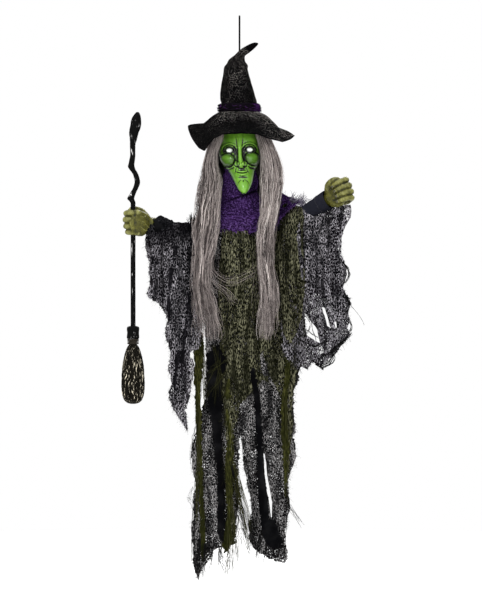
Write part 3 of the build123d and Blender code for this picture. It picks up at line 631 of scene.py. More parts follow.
H += -2.8 * np.exp(-((np.abs(LX) - (Z + 466) * -0.55 - 0.5) / 1.3) ** 2) * bump1(Z, -463, 4.5) - 2.2 * g2(0, -465.5, 2.0, 2.4)
H += 2.0 * np.exp(-((np.abs(aa) - amax[:, None] * 0.965) / 0.035) ** 2) * sstep(-400, -425, Z)
H += 0.45 * fbm(FX / 13, Z / 13, 0, 3, 3) + 0.18 * fbm(FX / 3.2, Z / 3.2, 0, 8, 2)


def blur(a, k):
    ker = np.hanning(2 * k + 3)[1:-1]
    ker /= ker.sum()
    a = np.apply_along_axis(lambda r: np.convolve(np.pad(r, k, mode="edge"), ker, "valid"), 0, a)
    return np.apply_along_axis(lambda r: np.convolve(np.pad(r, k, mode="edge"), ker, "valid"), 1, a)


# crease: darker in the mask's hollows, partly the mask's own dark wash and partly painted shade. The terms below darken
# the eye sockets and the lid fold and add painted shade at the eye corners, beneath the cheeks, along the nose, under
# its tip and along the upper side edges.
cav = np.clip((blur(H, 9) - H) / 2.4, 0, 1) + np.clip((blur(H, 3) - H) / 0.55, 0, 1) * 0.9
for s in (-1, 1):
    ez = -379.5 if s < 0 else -377.5
    e = (np.abs((FX - 28.5 * s) / 13.2) ** 1.7 + np.abs((Z - ez + 0.06 * (FX - 28.5 * s) * s) / 7.9) ** 1.7) ** (1 / 1.7)
    cav += 1.7 * np.exp(-((e - 1.03) / 0.17) ** 2) + 1.6 * (e < 1.03) + 0.35 * np.exp(-((e - 1.5) / 0.12) ** 2) * (Z > -378)
    rho = np.sqrt(np.maximum(((FX - 36.5 * s) / 21.5) ** 2 + ((Z + 404.5 - 2.0 * s) / 18.0) ** 2 + 0.12 * s * (FX - 36.5 * s) * (Z + 404) / 380, 0))
    cav += 0.9 * np.exp(-((rho - 1.06) / 0.085) ** 2) * sstep(-396, -408, Z)
    cav += 1.0 * g2(13.0 * s, -383, 3.6, 13) + 0.6 * g2(43 * s, -379, 3.4, 5)
    cav += 0.75 * np.exp(-((np.abs(FX - 1.0) - lerp(Z, [(-430, 9.0), (-412, 9.2), (-400, 7.6), (-380, 7.0)])) / 1.3) ** 2) * bump1(Z, -400, 22)
cav += 0.45 * g2(1.5, -430.5, 4.5, 1.6)
for s in ():
    pass
cav += 0.9 * sstep(0.93, 1.0, np.abs(aa) / amax[:, None]) * sstep(-330, -300, Z)
cav = np.clip(cav, 0, 1)
nx, ny = np.sin(aa), -np.cos(aa)
side = np.clip(np.cos(aa) * 1.6, 0.15, 1)
Xs = X0 + sh[:, None] + nx * H * 0.55 * side
Ys = yc[:, None] - d[:, None] * np.cos(aa) + ny * H * np.where(H > 0, 1.0, 1.0) * side
Zs = Z + 0
Hc = H
inn = np.stack([Xs - nx * 2.6, Ys - ny * 2.6 * 1.0, Zs], -1)
outv = np.stack([Xs, Ys, Zs], -1)
V = np.concatenate([outv.reshape(-1, 3), inn[::3, ::3].reshape(-1, 3)])
n1, m1 = inn[::3, ::3].shape[:2]
F = [quads(nz, na, flip=True), quads(n1, m1) + nz * na]
m = Mat("witch_mask_green")
cr = m.attr("crease")
pat = m.noise(42, 4, 0.6)
green = m.ramp(pat, (0.3, (0.080, 0.225, 0.014)), (0.52, (0.118, 0.30, 0.022)), (0.75, (0.17, 0.38, 0.036)))
# high: painted highlight, a lighter green on the raised brows, nose, lips and chin
hi = m.attr("high")
green = m.mix(m.math("MULTIPLY", hi, 0.38), green, (0.26, 0.52, 0.08))
# cheek: painted shade, a darker green over the cheeks, darkest at their rim and lower half
green = m.mix(m.attr("cheek"), green, (0.045, 0.11, 0.012))
# Darkening from the crease attribute: the mask's dark wash and painted shade, with random noise blotches.
wash_and_shade = m.math("ADD", cr, m.mapr(m.noise(150, 3), 0.55, 0.8, 0.0, 0.22), clamp=True)
m.set(Base_Color=m.mix(m.mapr(wash_and_shade, 0.08, 0.56, smooth=True), green, (0.004, 0.007, 0.003)), Roughness=m.mapr(m.noise(70, 3), 0.3, 0.7, 0.27, 0.42),
      Coat_Weight=m.mapr(m.attr("edge"), 0.0, 1.0, 0.30, 0.0), Coat_Roughness=0.20, Specular_IOR_Level=m.mapr(m.attr("edge"), 0.0, 1.0, 0.35, 0.0))
m.bump(m.noise(900, 3), 0.10, 0.0004)
# painted highlight on raised forms, kept off the cheeks; cheek below is painted shade
high = np.clip((H - blur(H, 9)) / 2.6, 0, 1)
cheek = 0 * H
for s in (-1, 1):
    rho = np.sqrt(((FX - 36.5 * s) / 21.5) ** 2 + ((Z + 404.5 - 2.0 * s) / 18.0) ** 2)
    cheek += 0.30 * (rho < 1.08) + 0.75 * sstep(0.45, 0.95, rho) * sstep(1.25, 1.05, rho) + 0.45 * (rho < 1.1) * sstep(-396, -410, Z)
    high = high * (1 - 0.9 * sstep(1.2, 0.9, rho))
cheek = np.clip(cheek, 0, 1)
edge_ = sstep(0.72, 0.97, np.abs(aa) / amax[:, None]) * np.ones_like(Z)
mask = make("face_mask_skin", V, F, m.m, attrs={"crease": np.concatenate([cav.ravel(), cav[::3, ::3].ravel()]), "high": np.concatenate([high.ravel(), high[::3, ::3].ravel()]), "cheek": np.concatenate([cheek.ravel(), cheek[::3, ::3].ravel()]), "edge": np.concatenate([edge_.ravel(), edge_[::3, ::3].ravel() * 0 + 1])})
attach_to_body(mask, "head")
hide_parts("face_mask")

# eyes: milky lenses with a faint ring, lit from behind
m = Mat("eye_lens")
r = m.attr("ring")
col = m.ramp(r, (0.0, (0.50, 0.56, 0.52)), (0.10, (0.55, 0.60, 0.56)), (0.16, (0.85, 0.88, 0.85)), (0.36, (0.88, 0.92, 0.88)), (0.44, (0.36, 0.44, 0.38)), (0.52, (0.80, 0.84, 0.80)), (0.85, (0.8, 0.86, 0.78)), (1.0, (0.25, 0.3, 0.22)))
m.set(Base_Color=m.mix(m.mapr(m.noise(400, 3), 0.5, 0.8, 0.0, 0.3), col, (0.8, 0.88, 0.8)), Roughness=m.mapr(m.noise(120, 2), 0.3, 0.7, 0.12, 0.2), Coat_Weight=0.4)
m.put(m.b.inputs["Emission Color"], col)
m.b.inputs["Emission Strength"].default_value = 0.22
for k, (s, ez) in enumerate(((-1, -379.5), (1, -377.5))):
    t, q = np.meshgrid(np.linspace(0.0, 1.5, 30), np.arange(48) * TAU / 48, indexing="ij")
    R = 13.0
    V = np.stack([28.5 * s + 9.9 * np.sin(t) * np.cos(q), -57.5 - 10.5 * np.cos(t), ez + (7.0 - 0.9 * np.cos(q) * s) * np.sin(t) * np.sin(q)], -1).reshape(-1, 3)
    F = quads(30, 48, closed=True)
    eye = make(f"eye_lens_{'broom' if s < 0 else 'free'}_side", V, F, m.m, attrs={"ring": (t / 1.0).ravel()})
    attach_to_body(eye, "head")
    if k == 0:
        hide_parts("eye_lenses")

# ---------------------------------------------------------------- hat
P2 = lambda px, py: ((px - 239.5) * 2.79, (14 - py) * 2.79)
LEFT = [(-50.2, -262), (-51.6, -248), (-53, -232), (-53.5, -216), (-51.5, -201), (-48.5, -184), (-45.5, -170), (-43, -154), (-41.5, -141),
        (-35, -128.5), (-24, -117), (-10, -104.5), (4, -92.5), (18, -82.5), (32, -75.5), (43, -72.3), (50, -73)]
RIGHT = [(50.5, -262), (50.2, -248), (46.5, -232), (42, -216), (37.8, -201), (32.3, -184), (28, -170), (25, -159), (22.5, -148), (19.5, -136),
         (15.5, -124), (12.5, -113.5), (19, -106.5), (30, -99), (41.5, -89.5), (50, -81), (53, -76.5)]
DEPTH = [53, 52.5, 50.5, 47.5, 44, 40, 36.5, 33.5, 30, 26, 21, 17.5, 13.5, 11, 9, 6.5, 3]


def fine(rows, n):
    rows = np.asarray(rows, float)
    if rows.ndim == 1:
        rows = rows[:, None]
    t = np.linspace(0, len(rows) - 1, n)
    i = np.clip(t.astype(int), 0, len(rows) - 2)
    f = (t - i)[:, None]
    p0, p1, p2, p3 = rows[np.maximum(i - 1, 0)], rows[i], rows[i + 1], rows[np.minimum(i + 2, len(rows) - 1)]
    return 0.5 * (2 * p1 + (p2 - p0) * f + (2 * p0 - 5 * p1 + 4 * p2 - p3) * f ** 2 + (3 * p1 - p0 - 3 * p2 + p3) * f ** 3)


def crown(n, q, lift=0.0, wr=1.0):
    """Points on the hat's crown. q is rows x angles; n rows run from the band to the tip."""
    L, Rr, D = fine(LEFT, n), fine(RIGHT, n), fine(DEPTH, n)[:, 0]
    c, h = (L + Rr) / 2, (Rr - L) / 2
    hl = np.linalg.norm(h, axis=1)
    x = c[:, :1] + h[:, :1] * np.cos(q)
    z = c[:, 1:] + h[:, 1:] * np.cos(q)
    y = D[:, None] * np.sin(q)
    v = np.linspace(0, 1, n)[:, None] * np.ones_like(q)
    k = np.minimum(1, hl / 22)[:, None]
    f = 2.2 * fbm(np.cos(q) * 1.5, np.sin(q) * 1.5, v * 5, 21, 3)
    f += 3.0 * np.exp(-((q - 4.55 - (v - 0.35) * 1.5) / 0.16) ** 2) * bump1(v, 0.34, 0.22) - 2.6 * np.exp(-((q - 4.25 - (v - 0.35) * 1.5) / 0.2) ** 2) * bump1(v, 0.34, 0.24)
    f += 1.8 * np.sin((v * 46 + 1.6 * np.sin(q + 1))) * sstep(0.44, 0.55, v) * (1 - sstep(0.66, 0.8, v))
    f += 1.5 * np.sin(v * 60 + 2 * np.sin(q)) * (1 - sstep(0.05, 0.16, v))
    f = f * k * wr + lift
    return np.stack([x + np.cos(q) * f * (-h[:, 1:] * 0 + 1), y + np.sin(q) * f, z], -1)


nr, nq = 120, 96
q = np.repeat(np.arange(nq)[None] * TAU / nq, nr, 0)
V = crown(nr, q)
tip = V[-1].mean(0)
Vi = crown(nr, q, -2.2)[:78]
F = [quads(nr, nq, closed=True), quads(78, nq, closed=True, flip=True) + nr * nq]
j = np.arange(nq)
rimf = np.stack([j, nr * nq + j, nr * nq + (j + 1) % nq, (j + 1) % nq], 1)
tipf = np.stack([(nr - 1) * nq + j, (nr - 1) * nq + (j + 1) % nq, np.full(nq, nr * nq + 78 * nq)], 1)
V = np.concatenate([V.reshape(-1, 3), Vi.reshape(-1, 3), [tip + [1.0, 0, 0.2]]])
m = Mat("hat_felt")
wv = m.noise(900, 3)
m.set(Base_Color=m.ramp(m.noise(26, 4), (0.3, (0.0007, 0.0007, 0.0008)), (0.55, (0.0015, 0.0015, 0.0017)), (0.78, (0.005, 0.0048, 0.005))), Roughness=m.mapr(m.noise(80, 2), 0.3, 0.7, 0.75, 0.95),
      Specular_IOR_Level=0.01)
m.bump(wv, 0.3, 0.0006)
m.bump(m.wave(1100 / TAU, "DIAGONAL", 2.0), 0.2, 0.0004)
FELT = m.m
hat = make("hat_crown_felt", V, F + [rimf, tipf], FELT)
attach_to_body(hat, "head")
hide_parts("hat_crown")

BRIM = [(0, 270, 280, 303, 331, 335, 148), (20, 270, 279, 297, 318, 323, 146), (45, 270, 276, 288, 302, 306, 145), (90, 270, 275, 284, 292, 292, 144),
        (135, 270, 276, 288, 296, 296, 144), (165, 270, 279, 295, 307, 303, 144), (180, 270, 281, 301, 318, 309, 146), (192, 270, 282, 306, 326, 324, 146),
        (205, 270, 281, 304, 330, 350, 144), (216, 270, 281, 305, 337, 371, 143), (226, 270, 280, 303, 337, 381, 143), (233, 270, 279, 300, 332, 362, 143),
        (239, 270, 278, 298, 327, 347, 143), (250, 270, 277, 293, 317, 337, 143), (270, 270, 276, 290, 313, 334.5, 144), (288, 270, 277, 291, 314, 335.5, 144),
        (300, 270, 278, 296, 320, 345, 145), (309, 270, 279, 299, 326, 351, 145), (322, 270, 280, 301, 330, 356, 146), (340, 270, 281, 305, 335, 345, 149), (352, 270, 281, 305, 334, 335, 151), (360, 270, 280, 303, 331, 335, 148)]


def brim(th, u):
    """Height and radius of the brim at angle th, in degrees, and share u of its width."""
    cols = [np.interp(th % 360, [b[0] for b in BRIM], [b[k] for b in BRIM]) for k in range(1, 7)]
    t = np.clip(u, 0, 1) * 4
    i = np.clip(t.astype(int), 0, 3)
    f = t - i
    c = np.stack(cols[:5], -1)
    take = lambda k: np.take_along_axis(c, np.clip(k, 0, 4)[..., None], -1)[..., 0]
    p0, p1, p2, p3 = take(i - 1), take(i), take(i + 1), take(i + 2)
    z = 0.5 * (2 * p1 + (p2 - p0) * f + (2 * p0 - 5 * p1 + 4 * p2 - p3) * f ** 2 + (3 * p1 - p0 - 3 * p2 + p3) * f ** 3)
    r = 51.5 + (cols[5] - 51.5) * u
    wob = 1.6 * fbm(np.cos(np.radians(th)) * 2.2, np.sin(np.radians(th)) * 2.2, u * 2, 31, 3) * u ** 0.5
    return -z + wob, r


def brim_pts(th, u, lift):
    z, r = brim(th, u)
    c = -1 + 4 * u
    return np.stack([c + r * np.cos(np.radians(th)), r * np.sin(np.radians(th)), z + lift], -1)


nu, nt = 46, 240
U, TH = np.meshgrid(np.linspace(0, 1, nu), np.arange(nt) * 360 / nt, indexing="ij")
top, bot = brim_pts(TH, U, 1.5), brim_pts(TH, U, -1.5)
roll = brim_pts(np.arange(nt) * 360 / nt, np.full(nt, 1.0), 0.0)
rr = roll - np.array([3, 0, 0]) * 0
outd = np.stack([np.cos(np.radians(np.arange(nt) * 360 / nt)), np.sin(np.radians(np.arange(nt) * 360 / nt)), np.zeros(nt)], -1)
edge = [rr + outd * 1.2 + [0, 0, 1.9], rr + outd * 2.4 + [0, 0, 0.9], rr + outd * 2.6 + [0, 0, -0.6], rr + outd * 1.4 + [0, 0, -1.9]]
G = np.concatenate([top, np.stack(edge), bot[::-1]], 0)
ng = G.shape[0]
br = make("hat_brim_felt", G.reshape(-1, 3), [quads(ng, nt, closed=True), np.stack([np.arange(nt), (np.arange(nt) + 1) % nt, (ng - 1) * nt + (np.arange(nt) + 1) % nt, (ng - 1) * nt + np.arange(nt)], 1)], FELT)
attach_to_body(br, "head")
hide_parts("hat_brim")

# glittering diamond net over the crown and the top of the brim; its silver specks are the glitter's own, their
# brightness painted by the lit attribute as glints
m = Mat("hat_glitter_net")
g = m.noise(620, 2, 0.7)
spark = m.math("MULTIPLY", m.mapr(g, 0.60, 0.64), m.mapr(m.attr("lit"), 0.0, 1.0, 0.06, 1.0))
m.set(Base_Color=m.mix(spark, (0.003, 0.003, 0.003), (0.95, 0.88, 0.82)), Roughness=m.mapr(g, 0.4, 0.7, 0.8, 0.35), Metallic=m.math("MULTIPLY", spark, 0.6), Specular_IOR_Level=0.0)
m.bump(g, 0.5, 0.0005)
GLIT = m.m
Ps = []
ND = 40
vv = np.linspace(0.01, 0.80, 110)
for sgn in (-1, 1):
    for k in range(ND):
        qq = k * TAU / ND + sgn * vv * 3.4
        full = crown(240, np.repeat(qq[None, :], 240, 0), 0.5)
        Ps.append(full[(vv * 239).astype(int), np.arange(len(vv))])
Ps = np.array(Ps)
net = strands("hat_crown_net", Ps, np.full(Ps.shape[:2], 0.52), GLIT, 3)
zc, xc, yc_ = Ps[..., 2], Ps[..., 0], Ps[..., 1]
# lit is painted light: the glints gather in a patch on the front of the crown, with random spots elsewhere
lit = 0.10 + 1.0 * bump1(zc, -165, 50) * bump1(xc - 0.12 * (zc + 165), -4, 20) + 0.25 * (fbm(xc / 20, zc / 20, yc_ / 20, 91) > 0.1)
net.data.attributes.new("lit", "FLOAT", "POINT").data.foreach_set("value", np.repeat(np.clip(lit, 0, 1).ravel(), 3).astype(np.float32))
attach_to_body(net, "head")
Ps = []
uu = np.linspace(0.02, 0.99, 60)
for sgn in (-1, 1):
    for k in range(76):
        Ps.append(brim_pts(k * 360 / 76 + sgn * uu * 62, uu, 1.9))
Ps = np.array(Ps)
net = strands("hat_brim_net", Ps, np.full(Ps.shape[:2], 0.52), GLIT, 3, ref=(0.1, 0.2, 1.0))
rc = np.hypot(Ps[..., 0], Ps[..., 1])
thc = np.degrees(np.arctan2(Ps[..., 1], Ps[..., 0])) % 360
# lit is painted light: the brim's glints show in given bands of angle, brightest on the inner front
lit = 0.0 + 0.95 * sstep(116, 84, rc) * sstep(205, 240, thc) + 0.6 * sstep(288, 315, thc) + 0.4 * sstep(60, 20, thc) + 0.05 * (fbm(Ps[..., 0] / 25, Ps[..., 1] / 25, 0, 92) > 0.1)
net.data.attributes.new("lit", "FLOAT", "POINT").data.foreach_set("value", np.repeat(np.clip(lit, 0, 1).ravel(), 3).astype(np.float32))
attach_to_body(net, "head")

# crumpled band of black and purple gauze
m = Mat("hat_band_gauze")
sep = m.new("ShaderNodeSeparateXYZ")
m.put(sep.inputs[0], m.obj)
pm = m.math("MULTIPLY", m.mapr(m.noise(38, 3), 0.35, 0.6), m.mapr(sep.outputs[0], 0.026, 0.056, 0.0, 0.8))
hol = m.voronoi(420, "DISTANCE_TO_EDGE")
m.set(Base_Color=m.mix(pm, (0.005, 0.004, 0.006), (0.055, 0.014, 0.10)), Roughness=m.mapr(hol, 0, 0.4, 0.8, 1.0), Specular_IOR_Level=0.0, Alpha=m.math("LESS_THAN", hol, 0.34))
m.bump(m.math("SUBTRACT", 0.5, hol), 0.6, 0.001)
for layer in range(2):
    A, Bq = np.meshgrid(np.linspace(0, 1, 26), np.arange(260) * TAU / 260, indexing="ij")
    zb = -270 + 24 * A + 2.5 * fbm(np.cos(Bq) * 3, np.sin(Bq) * 3, 0, 41 + layer)
    fold = 2.6 * np.sin(A * (16 + 5 * layer) + 2.5 * fbm(np.cos(Bq) * 2.2, np.sin(Bq) * 2.2, A, 43 + layer) + 3 * np.sin(Bq * 2 + layer)) + 2.2 * fbm(np.cos(Bq) * 7, np.sin(Bq) * 7, A * 3, 45 + layer)
    rad = 54.5 + layer * 2.6 + fold + 2.5 * np.sin(A * math.pi)
    cx = np.interp(zb, [-270, -248], [-0.5, -1.0])
    bd = make(f"hat_band_wrap_{layer}", np.stack([cx + rad * np.cos(Bq), rad * np.sin(Bq), zb], -1).reshape(-1, 3), quads(26, 260, closed=True), m.m)
    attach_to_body(bd, "head")
    if layer == 0:
        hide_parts("hat_band")
rng = np.random.RandomState(5)
Ps, Rs = [], []
for k in range(90):
    a = rng.rand() * TAU
    zs = -268 + 18 * rng.rand()
    L = 6 + 12 * rng.rand()
    t = np.linspace(0, 1, 9)
    r0 = 58 + 2 * rng.rand()
    ang = a + 0.08 * (rng.rand() - 0.5) * t * 4
    rad = r0 + L * 0.35 * t + 1.5 * np.sin(t * 6 + k)
    Ps.append(np.stack([-1 + rad * np.cos(ang), rad * np.sin(ang), zs - L * (rng.rand() - 0.25) * t + 1.5 * np.sin(t * 5 + k * 2)], -1))
    Rs.append(0.4 * (1 - 0.6 * t))
BT = thread_mat("band_threads", (0.012, 0.008, 0.014), (0.16, 0.05, 0.24))
th = strands("hat_band_threads", Ps, Rs, BT, 3, tint=rng.rand(90))
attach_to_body(th, "head")

# ---------------------------------------------------------------- hair
def locks(name, n, rows, seed, col=(0.15, 1.0), rad=(0.32, 0.62), npts=46, clump=26, wave=5.4, end_spread=150, shell=0.0):
    """Strands that follow a lock's sections. A row is z, centre x, centre y, half width, half depth."""
    rng = np.random.RandomState(seed)
    rows = np.array(sorted(rows, key=lambda r: -r[0]), float)
    z0, z1 = rows[0, 0], rows[-1, 0]
    fit = fine(rows, 200)
    cq = rng.rand(clump) * TAU
    cr = np.sqrt(rng.rand(clump)) * 0.95
    which = rng.randint(0, clump, n)
    P, R = np.zeros((n, npts, 3)), np.zeros((n, npts))
    tint = np.clip(rng.beta(2, 2, n) * 0.42 + rng.rand(clump)[which] * 0.62 + 0.08, 0, 1)
    for i in range(n):
        c = which[i]
        a = rng.rand() * TAU
        r = np.sqrt(rng.rand() * (1 - shell) + shell)
        u0, v0 = r * np.cos(a), r * np.sin(a)
        uc, vc = cr[c] * np.cos(cq[c]), cr[c] * np.sin(cq[c])
        # strands far from their clump's middle get a darker tint: painted shade in the gaps between clumps
        tint[i] *= 1 - 0.72 * float(sstep(0.22, 0.85, math.hypot(u0 - uc, v0 - vc)))
        start = z0 - rng.rand() * 12
        stop = z1 + (rng.rand() ** 0.9) * end_spread * (1 if rng.rand() < 0.8 else 2.2)
        z = np.linspace(start, stop, npts)
        s = (z0 - z) / (z0 - z1)
        pull = 0.80 * sstep(0.04, 0.45, s) * (0.5 + 0.5 * np.sin(s * 7 + c * 1.7))
        u, v = u0 + (uc - u0) * pull, v0 + (vc - v0) * pull
        cx, cy, rx, ry = (np.interp(-z, -fit[:, 0], fit[:, k]) for k in (1, 2, 3, 4))
        ph = rng.rand() * 9
        wx = wave * (vnoise(z / 55.0 + c * 3.1, c * 1.3, 0, seed + 3) + 0.55 * vnoise(z / 24.0 + ph, i * 0.37, 0, seed + 4)) * sstep(0.02, 0.3, s)
        wy = wave * 0.8 * (vnoise(z / 48.0 + c * 5.7, c * 2.3, 2.2, seed + 5) + 0.5 * vnoise(z / 22.0 + ph, i * 0.31, 4.4, seed + 6)) * sstep(0.02, 0.3, s)
        sway = 3.2 * np.sin(s * 5.5 + c * 2.1) * sstep(0.15, 0.5, s) + 7.0 * (rng.rand() - 0.5) * sstep(0.8, 1.0, s) * 2
        rx = rx * 0.90
        P[i] = np.stack([cx + rx * u + wx + sway * 0.8, cy + ry * v + wy, z], -1)
        w = rad[0] + (rad[1] - rad[0]) * rng.rand()
        R[i] = w * (1 - 0.55 * sstep(0.75, 1.0, np.linspace(0, 1, npts)))
    return P, R, tint


def hair_mat(name):
    m = Mat(name)
    t = m.attr("tint")
    al = m.attr("along")
    n = m.noise(60, 3)
    f = m.math("ADD", m.math("MULTIPLY", t, 0.85), m.math("MULTIPLY", n, 0.22))
    col = m.ramp(f, (0.12, (0.012, 0.009, 0.009)), (0.26, (0.055, 0.044, 0.042)), (0.42, (0.19, 0.16, 0.152)), (0.60, (0.42, 0.365, 0.345)), (0.88, (0.78, 0.71, 0.67)))
    m.set(Base_Color=m.mix(m.mapr(m.math("MULTIPLY", al, m.noise(40, 2)), 0.42, 0.66, 0.0, 0.3), col, (0.42, 0.37, 0.35)), Roughness=m.mapr(n, 0.3, 0.7, 0.38, 0.6), Specular_IOR_Level=0.15)
    m.bump(m.noise(1.0, 2, src=m.scaled((1500, 1500, 60))), 0.2, 0.0002)
    return m.m


HAIR = hair_mat("hair_fibre")
LEFT_LOCK = [(-318, -58, -44, 17, 34), (-345, -63, -44, 19, 37), (-380, -76, -42, 17.5, 44), (-420, -83, -48, 22, 44), (-460, -80, -60, 31, 40), (-480, -84, -68, 35, 35),
             (-520, -88, -84, 37, 24), (-560, -90, -94, 37, 17), (-600, -92, -101, 37, 14), (-650, -98, -104, 31, 13), (-700, -105, -104, 25, 12), (-750, -107, -102, 26, 11),
             (-800, -98, -98, 34, 11), (-850, -90, -96, 41, 11), (-885, -84, -95, 42, 10), (-915, -82, -94, 34, 9)]
RIGHT_LOCK = [(-318, 60, -44, 20, 34), (-345, 67, -42, 22, 38), (-380, 80, -42, 25, 45), (-420, 89, -48, 31, 44), (-460, 89, -60, 35, 40), (-480, 89, -68, 34, 35),
              (-520, 86, -84, 30, 24), (-560, 80, -94, 27, 17), (-600, 74, -101, 26, 14), (-650, 72, -103, 23, 12), (-700, 75, -103, 22, 11), (-750, 80, -101, 24, 11),
              (-800, 82, -98, 28, 11), (-850, 78, -96, 28, 10), (-885, 76, -95, 25, 10), (-912, 73, -94, 16, 8)]
for name, rows, seed, nodes in (("hair_lock_broom_side", LEFT_LOCK, 11, ("hair_broom_side_upper", "hair_broom_side_lower")),
                                ("hair_lock_free_side", RIGHT_LOCK, 12, ("hair_free_side_upper", "hair_free_side_lower"))):
    s = -1 if seed == 11 else 1
    P, R, T = locks(name, 900, rows, seed, npts=44)
    edge = [(z, cx - s * 0.0, cy, rx * 1.12, ry * 1.1) for z, cx, cy, rx, ry in rows]
    P2, R2, T2 = locks(name, 150, edge, seed + 20, rad=(0.22, 0.4), npts=44, wave=6.5, shell=0.7)
    # strands leaving the lock: a fan at the end and a few that cross the chest
    rng = np.random.RandomState(seed + 40)
    P3 = P2[rng.permutation(150)[:44]].copy()
    k = sstep(0.55, 1.0, np.linspace(0, 1, 44))
    P3[:, :, 0] += k[None] * (rng.rand(44, 1) * 2 - 1) * 34 + k[None] * (-s) * 8
    P3[:, :, 1] -= k[None] * 3
    P, R, T = np.concatenate([P, P2, P3]), np.concatenate([R, R2, R2[:44] * 0.9]), np.concatenate([T, T2 * 0.6 + 0.4, T2[:44]])
    P[:, :, 1] = np.maximum(P[:, :, 1], -119 + 0 * P[:, :, 1])
    lock = strands(name, P, R, HAIR, 4, tint=T)
    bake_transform(lock)
    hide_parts(*nodes)

# swooping strands over the chest
rng = np.random.RandomState(77)
P, R, T = [], [], []
for k in range(16):
    t = np.linspace(0, 1, 46)
    o = (rng.rand(3) - 0.5) * [16, 5, 26]
    pts = fine([(-84, -101, -640), (-82, -107, -690), (-70, -109, -720), (-38, -110, -742), (-6, -110, -742), (22, -109, -728), (42, -106, -716)], 46)
    pts = pts[: 46 - 0] + o + np.stack([2 * np.sin(t * 5 + k), 1.2 * np.sin(t * 7 + k), (rng.rand() - 0.5) * 24 * t ** 2 + 2 * np.sin(t * 6 + 2 * k)], -1)
    if k > 8:
        pts = fine([(-82, -101, -650), (-86, -108, -705), (-76, -110, -742), (-40, -109, -768), (-16, -108, -800)], 46) + o * 1.4 + np.stack([2 * np.sin(t * 5 + k), t * 0, 2 * np.sin(t * 6 + 2 * k)], -1)
    P.append(pts)
    R.append(np.full(46, 0.30) * (1 - 0.5 * t))
    T.append(0.22 + 0.4 * rng.rand())
P[:] = [p for p in P]
lock = strands("hair_strays_chest", np.array(P), np.array(R), HAIR, 4, tint=T)
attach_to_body(lock, "torso")

# the back of the wig: a lining that closes the head and long hair over it
BACK = [(-300, 58, 62, 0), (-330, 66, 78, 0), (-370, 72, 90, 0), (-410, 76, 96, 0), (-450, 78, 99, 0), (-500, 80, 103, 0), (-540, 80, 106, 0), (-600, 82, 108, 0),
        (-680, 80, 109, 0), (-760, 76, 106, 0), (-820, 70, 100, 0), (-850, 58, 97, 0)]
rng = np.random.RandomState(31)
n, npts = 1300, 40
Bk = fine(np.array(BACK, float), 160)
P, R, T = np.zeros((n, npts, 3)), np.zeros((n, npts)), np.zeros(n)
for i in range(n):
    layer = rng.rand() ** 0.6
    a = (rng.rand() * 2 - 1)
    cl = int((a + 1) * 12)
    stop = -860 + 26 * math.sin(cl * 2.3) ** 2 * 2.4 + 70 * a * a + rng.rand() ** 1.5 * 130
    z = np.linspace(-300 - rng.rand() * 20, stop, npts)
    s = (-300 - z) / 550
    wdt, dep = np.interp(-z, -Bk[:, 0], Bk[:, 1]), np.interp(-z, -Bk[:, 0], Bk[:, 2])
    ang = a * (1.52 - 0.28 * sstep(0.3, 0.7, s)) + 0.05 * vnoise(z / 60.0, i * 0.4, 0, 55)
    lay = 0.86 + 0.14 * layer
    body = sstep(-500, -560, z)
    x = wdt * np.sin(ang) * lay + 4.5 * vnoise(z / 50.0, cl, 0, 56) + 1.5 * vnoise(z / 21.0, cl + i * 0.2, 0, 59)
    y = dep * (np.cos(ang * (1 - 0.25 * body)) ** (0.75 - 0.35 * body)) * lay + 2.2 * vnoise(z / 45.0, cl + 0.5, 0, 57) + body * 6
    y = np.maximum(y, 4 + 40 * sstep(-350, -560, z))
    P[i] = np.stack([x, np.minimum(y, 118), z], -1)
    R[i] = (0.34 + 0.3 * rng.rand()) * (1 - 0.5 * sstep(0.8, 1, np.linspace(0, 1, npts)))
    T[i] = np.clip(rng.beta(2, 2.4) + 0.25 * (vnoise(cl * 1.3, 0.2, 0, 58)), 0, 1)
lock = strands("hair_back_fall", P, R, HAIR, 4, tint=T)
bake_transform(lock)
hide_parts("hair_back_upper", "hair_back_lower")

# wig cap over the back of the head, under the strands
q, t = np.meshgrid(np.linspace(-1.62, 1.62, 60), np.linspace(0, 1, 44), indexing="ij")
z = -268 - 190 * t
ww = lerp(z, [(-460, 52), (-420, 60), (-360, 62), (-310, 56), (-268, 45)])
dd = lerp(z, [(-460, 66), (-420, 84), (-370, 84), (-320, 74), (-268, 50)])
V = np.stack([ww * np.sin(q), -2 + dd * np.cos(q) + 1.5 * fbm(q * 4, z / 20, 0, 63), z], -1)
m = Mat("wig_cap_weft")
wf = m.wave(330, "Z", 3.0)
m.set(Base_Color=m.ramp(wf, (0.2, (0.03, 0.026, 0.026)), (0.8, (0.12, 0.10, 0.098))), Roughness=m.mapr(wf, 0, 1, 0.7, 0.9), Sheen_Weight=0.1)
m.bump(wf, 0.6, 0.001)
cap = make("wig_cap", V.reshape(-1, 3), quads(60, 44), m.m)
mod = cap.modifiers.new("thick", "SOLIDIFY")
mod.thickness = 0.0015
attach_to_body(cap, "head")
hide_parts("head_back_shell")

# ---------------------------------------------------------------- cloth on the body
def px(*pts):
    return [((x - 239.5) * 2.79, (14 - y) * 2.79) for x, y in pts]


